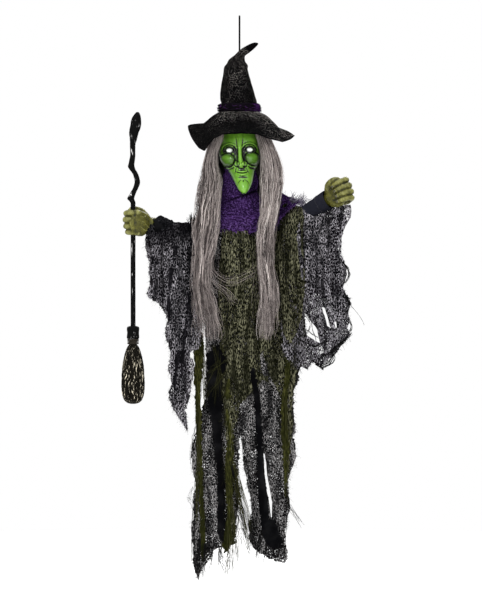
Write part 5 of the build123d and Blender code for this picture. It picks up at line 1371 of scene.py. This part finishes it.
def on_top(p, face=1):
    s, z = np.asarray(p, float).T
    h = z - FA.axis_z(s)
    o = np.where(h > 24, 4 + 16 * np.clip((46 - h) / 22, 0, 1), 25) + 1.6 * vnoise(s / 9, z / 9, 0, 371) + 2.2 * vnoise(s / 22, z / 30, 0, 372)
    base = FA.P[None] + FA.d0[None] * s[:, None]
    base[:, 2] = z
    return base + FA.a[None] * (face * o)[:, None]


p_sh = cloth("purple_shoulder_gauze", PS, lambda p: on_top(p), PURPLE, 4.5, [], 308, FRAY_PURPLE, per=0.8, length=(3, 14), attach=("torso", "arm_free", (0.106, -0.004, -0.520), (0.168, -0.040, -0.522)), tear=2.0, spikes=3, droop=-0.2)
rng = np.random.RandomState(91)
P, R, T = [], [], []
t = np.linspace(0, 1, 12)
for k in range(170):
    s0 = 50 + 42 * rng.rand()
    z0 = -514 - 0.28 * (s0 - 60) - rng.rand() * 12
    L = 8 + 26 * rng.rand() ** 1.5
    ang = math.radians(rng.uniform(-45, 75))
    curl = rng.randn() * 0.5
    s = s0 + np.cos(ang + curl * t) * L * t
    z = z0 + np.sin(ang + curl * t) * L * t
    b = FA.P[None] + FA.d0[None] * s[:, None]
    b[:, 2] = z
    P.append(b + FA.a[None] * (3 + 9 * rng.rand() + rng.randn() * 5 * t)[:, None])
    R.append(0.72 * (1 - 0.5 * t))
    T.append(rng.rand())
fz = strands("shoulder_fray_free_side", np.array(P), np.array(R), thread_mat("fray_mixed", (0.004, 0.003, 0.005), (0.22, 0.20, 0.26)), 3, tint=T)
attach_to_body(fz, "arm_free")
P, R, T = [], [], []
for k in range(120):
    s0 = 22 + 30 * rng.rand()
    L = 10 + 20 * rng.rand() ** 1.5
    ang = math.radians(rng.uniform(50, 155))
    s = s0 + np.cos(ang) * L * t
    z = -584 + np.sin(ang) * (L + 6) * t - 3 * t ** 2
    b = BA.P[None] + BA.d0[None] * s[:, None]
    b[:, 2] = z
    P.append(b + BA.a[None] * (4 + 16 * rng.rand() + rng.randn() * 5 * t)[:, None])
    R.append(0.8 * (1 - 0.5 * t))
    T.append(rng.rand() * 0.4)
fz = strands("shoulder_fray_broom_side", np.array(P), np.array(R), FRAY_BLACK, 3, tint=T)
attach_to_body(fz, "arm_broom")


def undersleeve(arm, name, mat, radii, node, seed):
    """A cloth tube round the arm, creased at the elbow, with a turned and stitched cuff."""
    n_, q_ = 110, 72
    S, Q = np.meshgrid(np.linspace(14, arm.L + 5, n_), np.arange(q_) * TAU / q_, indexing="ij")
    r = lerp(S, radii)
    cuff = sstep(arm.L - 27, arm.L - 25.5, S)
    wr = 1.1 * np.sin(S / 4.2 + 2.2 * np.sin(Q + seed) + 2 * vnoise(np.cos(Q) * 2, np.sin(Q) * 2, S / 30, seed)) * (0.35 + 0.65 * np.exp(-((S - 70) / 30) ** 2)) + 0.9 * fbm(np.cos(Q) * 2, np.sin(Q) * 2, S / 22, seed + 1)
    r = r + wr * (1 - 0.7 * cuff) + 0.9 * cuff - 0.9 * np.exp(-((S - arm.L + 26.5) / 0.9) ** 2)
    C = arm.P[None, None] + arm.d[None, None] * S[..., None]
    V = C + arm.a[None, None] * (r * np.cos(Q))[..., None] + arm.u[None, None] * (r * np.sin(Q))[..., None]
    inner = C[-14:][::-1] + (arm.a[None, None] * ((r - 1.3) * np.cos(Q))[..., None] + arm.u[None, None] * ((r - 1.3) * np.sin(Q))[..., None])[-14:][::-1]
    G = np.concatenate([V, inner], 0)
    F = quads(G.shape[0], q_, closed=True)
    W = np.stack([Q * 0.02, S * MM, 0 * Q], -1)
    W = np.concatenate([W, W[-14:][::-1]], 0)
    o = make(name, G.reshape(-1, 3), F, mat, attrs={"wv": W.reshape(-1, 3)})
    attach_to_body(o, f"arm_{arm.side}")
    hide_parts(node)
    # stitches round the cuff
    qs = np.arange(64) * TAU / 64
    s0 = arm.L - 24.0
    rr = lerp(np.array([s0]), radii)[0] + 1.6
    P_ = []
    for q0 in qs:
        tt = np.linspace(-0.026, 0.026, 5)
        P_.append([arm.P + arm.d * s0 + (arm.a * math.cos(q0 + x) + arm.u * math.sin(q0 + x)) * (rr - 6 * x * x) for x in tt])
    st = strands(name + "_stitches", np.array(P_), np.full((64, 5), 0.28), FRAY_GREY, 4, tint=np.full(64, 0.5))
    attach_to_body(st, f"arm_{arm.side}")
    return o


NAVY = cloth_mat("sleeve_navy_cloth", (0.012, 0.0125, 0.018), weave=1300, sheen=0.05, vary=0.3)
undersleeve(BA, "undersleeve_broom_side", BLACK, [(14, 14), (90, 15.5), (130, 20), (165, 24)], "broom_undersleeve", 401)
undersleeve(FA, "undersleeve_free_side", NAVY, [(14, 15), (70, 17), (110, 19), (150, 23.5), (184, 27)], "free_undersleeve", 402)


def tangle(name, arm, paths, n, seed, spread=3.0, rad=(0.5, 1.0), mat=None, body=None):
    """Threads pulled out of a sleeve's hem that run together along a path given in the outline grid."""
    rng_ = np.random.RandomState(seed)
    P_, R_, T_ = [], [], []
    t_ = np.linspace(0, 1, 40)
    for k_ in range(n):
        way = fine(np.array(s_poly(arm, paths[k_ % len(paths)]), float), 40)
        o_ = rng_.randn(2) * spread * 0.5
        way = way + o_ + spread * np.stack([vnoise(t_ * 5, k_ * 1.3, 0, seed), vnoise(t_ * 5, k_ * 1.9, 3, seed + 1)], -1)
        pts_ = on_arm(arm, way, 1, 3 + 3 * rng_.rand(), seed + 3)
        P_.append(pts_)
        R_.append((rad[0] + (rad[1] - rad[0]) * rng_.rand()) * (1 - 0.4 * np.abs(2 * t_ - 1) ** 3))
        T_.append(rng_.rand() ** 2)
    o_ = strands(name, np.array(P_), np.array(R_), mat, 3, tint=T_)
    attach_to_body(o_, body)
    return o_


tangle("sleeve_hem_tangle_free_side", FA, [[(351, 333), (346, 338), (341, 343), (336, 348), (329, 353), (322, 358), (318, 363)], [(350, 334), (344, 341), (338, 345), (333, 351), (334, 358), (330, 364), (324, 367), (316, 364)],
       [(338, 350), (333, 356), (328, 362), (322, 366), (317, 363), (311, 359)], [(322, 366), (324, 369), (326, 365)], [(302, 340), (308, 343), (314, 346), (321, 345), (328, 340)],
       [(341, 292), (345, 297), (350, 303), (348, 309), (344, 314)], [(343, 262), (348, 268), (350, 275), (346, 282)], [(344, 318), (349, 322), (350, 328), (347, 333)]], 58, 401, spread=3.0, mat=FRAY_BLACK, body="drape_free")
tangle("sleeve_stray_free_side", FA, [[(341, 296), (346, 300), (352, 307), (357, 313), (361, 319), (364, 325)]], 2, 405, spread=1.2, rad=(0.35, 0.45), mat=FRAY_BLACK, body="drape_free")
tangle("sleeve_inner_threads_free_side", FA, [[(304, 312), (310, 322), (309, 330), (304, 338)], [(312, 318), (313, 328), (317, 341)], [(303, 328), (311, 333), (320, 338)], [(309, 304), (315, 318), (321, 334)], [(323, 304), (327, 316), (332, 330)]],
       16, 407, spread=2.4, rad=(0.35, 0.7), mat=FRAY_BLACK, body="drape_free")


# gathered black cuff at the end of the broom-side sleeve
nS, nQ = 40, 120
Sg, Qg = np.meshgrid(np.linspace(104, 160, nS), np.arange(nQ) * TAU / nQ, indexing="ij")
rad_ = 19.5 + 11.5 * bump1(Sg, 137, 21) * (0.55 + 0.45 * np.sin(Qg)) + 1.8 * np.sin(Sg / 3.1 + 1.5 * np.sin(Qg * 2)) + 2.2 * fbm(Sg / 11, np.cos(Qg) * 3, np.sin(Qg) * 3, 421)
Vc = BA.P + BA.d * Sg[..., None] + BA.a * (rad_ * np.cos(Qg))[..., None] + BA.u * (rad_ * np.sin(Qg))[..., None]
m = Mat("cuff_black_gathered")
n_ = m.noise(240, 4, 0.6)
m.set(Base_Color=m.ramp(n_, (0.35, (0.0015, 0.0015, 0.0018)), (0.58, (0.006, 0.006, 0.007)), (0.72, (0.05, 0.048, 0.053))), Roughness=m.mapr(n_, 0.3, 0.7, 0.8, 1.0), Specular_IOR_Level=0.0)
m.bump(n_, 0.4, 0.0008)
cuff = make("sleeve_cuff_broom_side", Vc.reshape(-1, 3), quads(nS, nQ, closed=True), m.m)
mod = cuff.modifiers.new("thick", "SOLIDIFY")
mod.thickness = 0.0012
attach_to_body(cuff, "arm_broom")

# ---------------------------------------------------------------- hands
def ball(r=1.0, n=14, m=20):
    t, q = np.meshgrid(np.linspace(0.001, math.pi - 0.001, n), np.arange(m) * TAU / m, indexing="ij")
    return np.stack([np.sin(t) * np.cos(q), np.sin(t) * np.sin(q), np.cos(t)], -1).reshape(-1, 3) * r, quads(n, m, closed=True)


def sculpt(name, blobs, voxel=1.25, smooth=6):
    """One skin over many round forms: a blob is a chain of (x, y, z, radius) or an ellipsoid (centre, radii)."""
    bv, bf = ball()
    Vs, Fs, o = [], [], 0
    for b in blobs:
        if len(b) == 2 and len(b[0]) == 3:
            Vs.append(bv * np.array(b[1]) + np.array(b[0]))
            Fs.append(bf + o)
            o += len(bv)
            continue
        c = fine(np.array(b, float), max(8, 7 * (len(b) - 1)))
        v, f = tubes(c[None, :, :3], c[None, :, 3], 18)
        Vs.append(v)
        Fs.append(f[0] + o)
        o += len(v)
        for e in (c[0], c[-1]):
            Vs.append(bv * e[3] + e[:3])
            Fs.append(bf + o)
            o += len(bv)
    o = make(name + "_form", np.concatenate(Vs), Fs, None if False else SLOT_MATS["hand_olive"])
    r = o.modifiers.new("r", "REMESH")
    r.mode, r.voxel_size = "VOXEL", voxel * MM
    s = o.modifiers.new("s", "SMOOTH")
    s.factor, s.iterations = 0.5, smooth
    dg = bpy.context.evaluated_depsgraph_get()
    me = o.evaluated_get(dg).to_mesh()
    v = np.zeros(len(me.vertices) * 3, np.float32)
    me.vertices.foreach_get("co", v)
    nrm = np.zeros_like(v)
    me.vertices.foreach_get("normal", nrm)
    f = np.array([p.vertices[:] for p in me.polygons if len(p.vertices) == 4])
    e = np.zeros(len(me.edges) * 2, np.int32)
    me.edges.foreach_get("vertices", e)
    o.evaluated_get(dg).to_mesh_clear()
    bpy.data.objects.remove(o)
    return v.reshape(-1, 3) / MM, nrm.reshape(-1, 3), f, e.reshape(-1, 2)


def cavity(v, nrm, e, rounds=8):
    """How far each point sits below its surroundings."""
    acc = v.copy()
    for _ in range(rounds):
        s, c = np.zeros_like(acc), np.zeros(len(acc))
        np.add.at(s, e[:, 0], acc[e[:, 1]])
        np.add.at(s, e[:, 1], acc[e[:, 0]])
        np.add.at(c, e[:, 0], 1)
        np.add.at(c, e[:, 1], 1)
        acc = s / np.maximum(c, 1)[:, None]
    return ((acc - v) * nrm).sum(1)


def skin_mat(name):
    m = Mat(name)
    cr = m.attr("crease")
    n1 = m.noise(60, 4, 0.6)
    base = m.ramp(n1, (0.3, (0.020, 0.020, 0.003)), (0.5, (0.048, 0.046, 0.005)), (0.72, (0.100, 0.096, 0.013)))
    # painted highlight: high lightens the raised parts; painted shade: crease darkens the hollows and joint lines, with
    # random blotches from noise
    base = m.mix(m.mapr(m.attr("high"), 0.25, 0.95, 0, 0.6), base, (0.42, 0.42, 0.15))
    w = m.math("ADD", cr, m.mapr(m.noise(170, 3), 0.50, 0.72, 0.0, 0.5), clamp=True)
    m.set(Base_Color=m.mix(m.mapr(w, 0.15, 0.8, smooth=True), base, (0.008, 0.009, 0.003)), Roughness=m.mapr(m.noise(90, 3), 0.3, 0.7, 0.4, 0.65), Specular_IOR_Level=0.2)
    m.bump(m.noise(700, 3), 0.25, 0.0004)
    return m.m


SKIN = skin_mat("hand_skin_olive")
NAIL = Mat("hand_nail")
NAIL.set(Base_Color=NAIL.ramp(NAIL.noise(300, 3), (0.3, (0.02, 0.02, 0.01)), (0.7, (0.09, 0.085, 0.04))), Roughness=NAIL.mapr(NAIL.noise(200, 2), 0.3, 0.7, 0.25, 0.4))
NAIL.bump(NAIL.wave(900, "X", 1.0), 0.15, 0.0003)


def fist(name, arm, centre, X, Y, Zax, node, body, back_to_front, seed):
    f = 1 if back_to_front else -1
    blobs = [((-8, 2 * f, -1), (28, 19.5, 32)), ((-24, 0, 0), (17, 18, 25)), ((4, 10 * f, 0), (19, 14, 33)), [(-30, 0, 0, 19), (-40, 0, 0, 16.5), (-52, 0, 0, 14.5)]]
    if back_to_front:
        blobs.append(((0, 9 * f, -3), (31, 16.5, 33)))
        blobs.append(((5, 15 * f, -1.5), (29, 12.0, 32)))
    zs = [25.5, 8.5, -8.5, -24.5]
    for i, z in enumerate(zs):
        k = (1.0, 1.03, 1.0, 0.9)[i]
        kx = (0, 2.0, 0.6, -3.0)[i]
        blobs.append([(-24, 6 * f, z * 0.62, 9), (-4, 12.5 * f, z * 0.86, 9), (13 + kx, 15.5 * f, z, 9.8 * k)])
        blobs.append([(13 + kx, 15.5 * f, z, 9.8 * k), (26 + kx, 11 * f, z * 1.01, 8.2 * k), (32.5 + kx, 1.0 * f, z * 1.0, 8.8 * k), (30 + kx, -9 * f, z * 0.97, 7.8 * k), (21 + kx, -17.5 * f, z * 0.93, 8.3 * k), (8 + kx, -19 * f, z * 0.90, 7.6 * k), (-1 + kx, -17.5 * f, z * 0.88, 6.2 * k)])
    blobs.append([(-27, -4 * f, 16, 11), (-16, -11 * f, 29, 10.5), (-2, -15 * f, 35, 9.5), (11, -14 * f, 35.5, 8.6), (19, -11 * f, 33, 7.0)])
    blobs.append([(-24, -4 * f, -14, 12), (-8, -10 * f, -24, 10), (2, -12 * f, -26, 8)])
    v, nr_, fc, e = sculpt(name, blobs)
    crease = np.clip(cavity(v, nr_, e, 10) / 1.1, -1, 1)
    # wrinkles, tendons and veins
    back = sstep(4, 14, f * v[:, 1])
    wr = 0.9 * vnoise(v[:, 0] / 3.2, v[:, 2] / 13, v[:, 1] / 8, seed) * 0.8 + 0.7 * fbm(v[:, 0] / 6, v[:, 1] / 6, v[:, 2] / 6, seed + 1)
    vein = np.exp(-((v[:, 2] - 9 * np.sin(v[:, 0] / 11 + 1) + 4) / 1.4) ** 2) + np.exp(-((v[:, 2] + 15 - 6 * np.sin(v[:, 0] / 9)) / 1.3) ** 2) + np.exp(-((v[:, 2] - 20 + 5 * np.sin(v[:, 0] / 8 + 2)) / 1.2) ** 2)
    d_ = 0.55 * wr + 1.3 * vein * back * sstep(14, 2, v[:, 0])
    joint = sum(np.exp(-((v[:, 0] - x) / 1.0) ** 2) for x in (20.5, 23.5)) * back
    d_ = d_ - 0.7 * joint
    rest = v.copy()
    v = v + nr_ * d_[:, None]
    # crease is painted shade in the hollows and joint lines, high is painted highlight on the raised parts
    crease = np.clip(crease + 0.5 * joint - 0.35 * d_, 0, 1)
    high = np.clip(-np.clip(cavity(rest, nr_, e, 10) / 0.9, -1, 1) + 0.3 * d_, 0, 1)
    gx_ = 1.0 + 0.09 * sstep(16, 40, v[:, 0]) + 0.0 * v[:, 0]
    v = np.stack([v[:, 0] * gx_, v[:, 1], v[:, 2] * 1.05], 1)
    M = np.stack([X, Y, Zax], 0)
    vw = v @ M + centre
    flip = np.linalg.det(M) < 0
    o = make(name, vw, fc[:, ::-1] if flip else fc, SKIN, attrs={"crease": crease, "high": high})
    # the grip runs right through the closed hand
    q = np.arange(48) * TAU / 48
    cyl = np.concatenate([[(16.5 + 7.35 * math.cos(a), 7.35 * math.sin(a), h) for a in q] for h in (-60, 60)]) @ M + centre
    j = np.arange(48)
    c = make(name + "_cutter", cyl, [np.stack([j, (j + 1) % 48, 48 + (j + 1) % 48, 48 + j], 1)], SKIN)
    cm = c.data
    import bmesh
    bm = bmesh.new()
    bm.from_mesh(cm)
    bmesh.ops.holes_fill(bm, edges=bm.edges)
    bmesh.ops.recalc_face_normals(bm, faces=bm.faces)
    bm.to_mesh(cm)
    bm.free()
    b = o.modifiers.new("grip", "BOOLEAN")
    b.operation, b.object, b.solver = "DIFFERENCE", c, "EXACT"
    dg = bpy.context.evaluated_depsgraph_get()
    me = bpy.data.meshes.new_from_object(o.evaluated_get(dg))
    o.modifiers.clear()
    o.data = me
    bpy.data.objects.remove(c)
    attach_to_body(o, body)
    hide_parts(node)
    # nails: curved plates on the finger ends
    Vn, Fn, k0 = [], [], 0
    u_, w_ = np.meshgrid(np.linspace(-1, 1, 9), np.linspace(0, 1, 9), indexing="ij")
    for i, z in enumerate(zs):
        kx = (0, 2.0, 0.6, -3.0)[i]
        for lift in (0.0,):
            x = 4 + kx - 9.5 * w_
            y = -(25.6 - 0.32 * (w_ * 3) ** 2 - 2.2 * u_ ** 2 + 0.4) * f
            zz_ = z * 0.89 + 4.2 * u_ * (1 - 0.25 * w_ ** 3)
            Vn.append(np.stack([x, y + f * 1.0, zz_], -1).reshape(-1, 3) @ M + centre)
            Fn.append(quads(9, 9) + k0)
            k0 += 81
    nl = make(name + "_nails", np.concatenate(Vn), Fn, NAIL.m)
    sm = nl.modifiers.new("thick", "SOLIDIFY")
    sm.thickness = 0.0008
    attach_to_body(nl, body)
    return o


fist("hand_broom_side", BA, np.array([-281.87, -105, -583.5]), BA.d0, BA.a, np.array([0, 0, 1.0]), "broom_hand", "arm_broom", True, 501)
fist("hand_free_side", FA, np.array([276.98, -102.18, -502.87]), FA.d, FA.a, FA.u, "free_hand", "arm_free", False, 511)

# ---------------------------------------------------------------- broom
BX, BY = -296.155, -113.255


def wood_mat(name, dark, mid, high, hs=0.5, lo=0.555, long=50):
    m = Mat(name)
    grain = m.noise(1.0, 4, 0.6, src=m.scaled((420, 420, 26)))
    base = m.ramp(grain, (0.3, dark), (0.7, mid))
    dry = m.math("MULTIPLY", m.attr("high"), m.mapr(m.noise(1.0, 3, 0.6, src=m.scaled((260, 260, long))), lo, lo + 0.06))
    m.set(Base_Color=m.mix(m.math("MULTIPLY", dry, hs), base, high), Roughness=m.mapr(grain, 0.3, 0.7, 0.55, 0.85), Specular_IOR_Level=0.03)
    m.bump(grain, 0.4, 0.0006)
    return m.m


def turned(name, rows, carve, mat, node, n_=260, q_=72, cap=True, thin=82):
    """A round form along the broom's axis: rows of z, x offset, radius. carve(z, q, r) is added to the radius."""
    rr_ = fine(np.array(rows, float), n_)
    z, ox, r = rr_[:, 0][:, None], rr_[:, 1][:, None], np.maximum(rr_[:, 2], 0.3)[:, None]
    Q = np.arange(q_)[None] * TAU / q_ + 0 * z
    dr = carve(z + 0 * Q, Q, r + 0 * Q)
    R_ = np.maximum(r + dr, 0.25)
    V = np.stack([BX + ox + R_ * np.cos(Q), BY + R_ * np.sin(Q), z + 0 * Q], -1).reshape(-1, 3)
    F = [quads(n_, q_, closed=True, flip=rows[0][0] > rows[-1][0])]
    if cap:
        V = np.concatenate([V, [[BX + rr_[0, 1], BY, rr_[0, 0]], [BX + rr_[-1, 1], BY, rr_[-1, 0]]]])
        j = np.arange(q_)
        F += [np.stack([j, (j + 1) % q_, np.full(q_, n_ * q_)], 1), np.stack([(n_ - 1) * q_ + (j + 1) % q_, (n_ - 1) * q_ + j, np.full(q_, n_ * q_ + 1)], 1)]
    hi_ = np.clip((dr - np.percentile(dr, thin)) / (1e-3 + np.percentile(dr, 98) - np.percentile(dr, thin)), 0, 1).ravel()
    o = make(name, V, F, mat, attrs={"high": np.concatenate([hi_, [0.0, 0.0]]) if cap else hi_})
    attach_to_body(o, "broom")
    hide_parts(node)
    return o


BLACKWOOD = wood_mat("broom_blackwood", (0.001, 0.001, 0.001), (0.004, 0.004, 0.004), (0.80, 0.79, 0.78), 0.95, 0.55, 22)
shaft = turned("broom_shaft", [(-530, 0, 6.95), (-600, 0, 6.95), (-700, 0, 6.95), (-800, 0, 6.95), (-878, 0, 6.95)],
               lambda z, q, r: -0.3 * (0.5 + 0.5 * np.sin(5 * q + 2 * vnoise(z / 60, 0.3, 0, 601) + z / 30)) ** 2 - 0.4 * np.clip(vnoise(z / 18, np.cos(q) * 1.4, np.sin(q) * 1.4, 602), 0, 1) ** 1.0 * 0.6,
               BLACKWOOD, "broom_handle", n_=340, q_=40)
STICK = [(-530, 0, 6.8), (-524, -2, 8.0), (-515, -6.5, 9.8), (-503, -1, 8.2), (-486, 7, 7.4), (-468, 12, 7.6), (-450, 7.5, 7.4), (-436, -1, 8.6), (-426, -5, 9.4), (-412, -3, 7.8), (-392, -1, 7.4), (-366, -1, 7.8), (-350, 1, 10.2),
         (-332, 3, 13.6), (-310, 7, 15.0), (-293, 9, 13.0), (-281, 11, 8.0), (-275, 12, 3.0)]
crook = turned("broom_crook_wood", STICK,
               lambda z, q, r: -1.7 * np.exp(-((np.sin(1.5 * q + z / 16.0 + 2 * vnoise(z / 30, 0.2, 0, 603))) / 0.22) ** 2) * (r / 10) + 0.8 * fbm(np.cos(q) * 2, np.sin(q) * 2, z / 14, 604) + 1.0 * np.sin(z / 6.5 + q) * 0.35,
               BLACKWOOD, "broom_crook", n_=300, q_=64)
capo = turned("broom_cap_wood", [(-870, 0, 7.4), (-871.5, 0, 13), (-874, 0, 16.6), (-880, 0, 17.4), (-890, 0, 16.4), (-898, 0, 17.2), (-904, 0, 17), (-906, 0, 15)],
              lambda z, q, r: -0.9 * np.exp(-(np.sin(7 * q + z / 20) / 0.3) ** 2) + 0.5 * fbm(np.cos(q) * 3, np.sin(q) * 3, z / 8, 605), BLACKWOOD, "broom_cap", n_=90)
BRONZE = wood_mat("broom_brush_bronze", (0.0015, 0.0013, 0.001), (0.007, 0.006, 0.004), (0.66, 0.60, 0.46), 0.95, 0.52, 24)
BR = [(-906.4, 0, 10.2), (-914, 0, 11), (-922, 0, 11.4), (-928, 0, 15.6), (-940, 0, 20.5), (-956, 0, 24.8), (-975, 0, 28.4), (-995, 0, 30.6), (-1030, 0, 32.0), (-1050, 0, 31.3), (-1063, 0, 29.2), (-1076, 0, 24.6), (-1084, 0, 16), (-1087, 0, 6)]


def bristles(z, q, r):
    k = r / 30
    w_ = q + 0.16 * np.sin(z / 13.0) + 0.10 * np.sin(z / 7.1 + 2 * q) + 0.12 * vnoise(z / 22, q, 0, 606)
    a_ = 1.5 * np.abs(np.sin(11 * w_)) ** 0.7 + 0.8 * np.abs(np.sin(23 * w_ + 1.3 * np.sin(z / 9.0))) - 1.6
    return a_ * k - 2.6 * k * np.exp(-(np.sin(3.5 * w_ + 0.6) / 0.16) ** 2) + 0.4 * vnoise(q * 20, z / 4, 0, 607) * k


brush = turned("broom_brush_carved", BR, bristles, BRONZE, "broom_brush", n_=300, q_=300, thin=72)
P, R, T = [], [], []
rng = np.random.RandomState(61)
for c0, z0 in enumerate((-908.0, -911.6, -915.4, -919.2)):
    tt = np.linspace(0, TAU * 1.01, 90)
    for ply in range(3):
        ph = ply * TAU / 3 + tt * 17
        r0 = 14.6 + 0.75 * np.cos(ph)
        P.append(np.stack([BX + r0 * np.cos(tt), BY + r0 * np.sin(tt), z0 + 0.75 * np.sin(ph) + 0.4 * np.sin(tt * 2 + c0)], -1))
        R.append(np.full(90, 0.95))
        T.append(0.3 + 0.2 * rng.rand())
TW = thread_mat("binding_twine", (0.005, 0.004, 0.003), (0.060, 0.052, 0.042))
bd = strands("broom_binding_twine", np.array(P), np.array(R), TW, 6, tint=T)
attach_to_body(bd, "broom")
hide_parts("broom_binding")
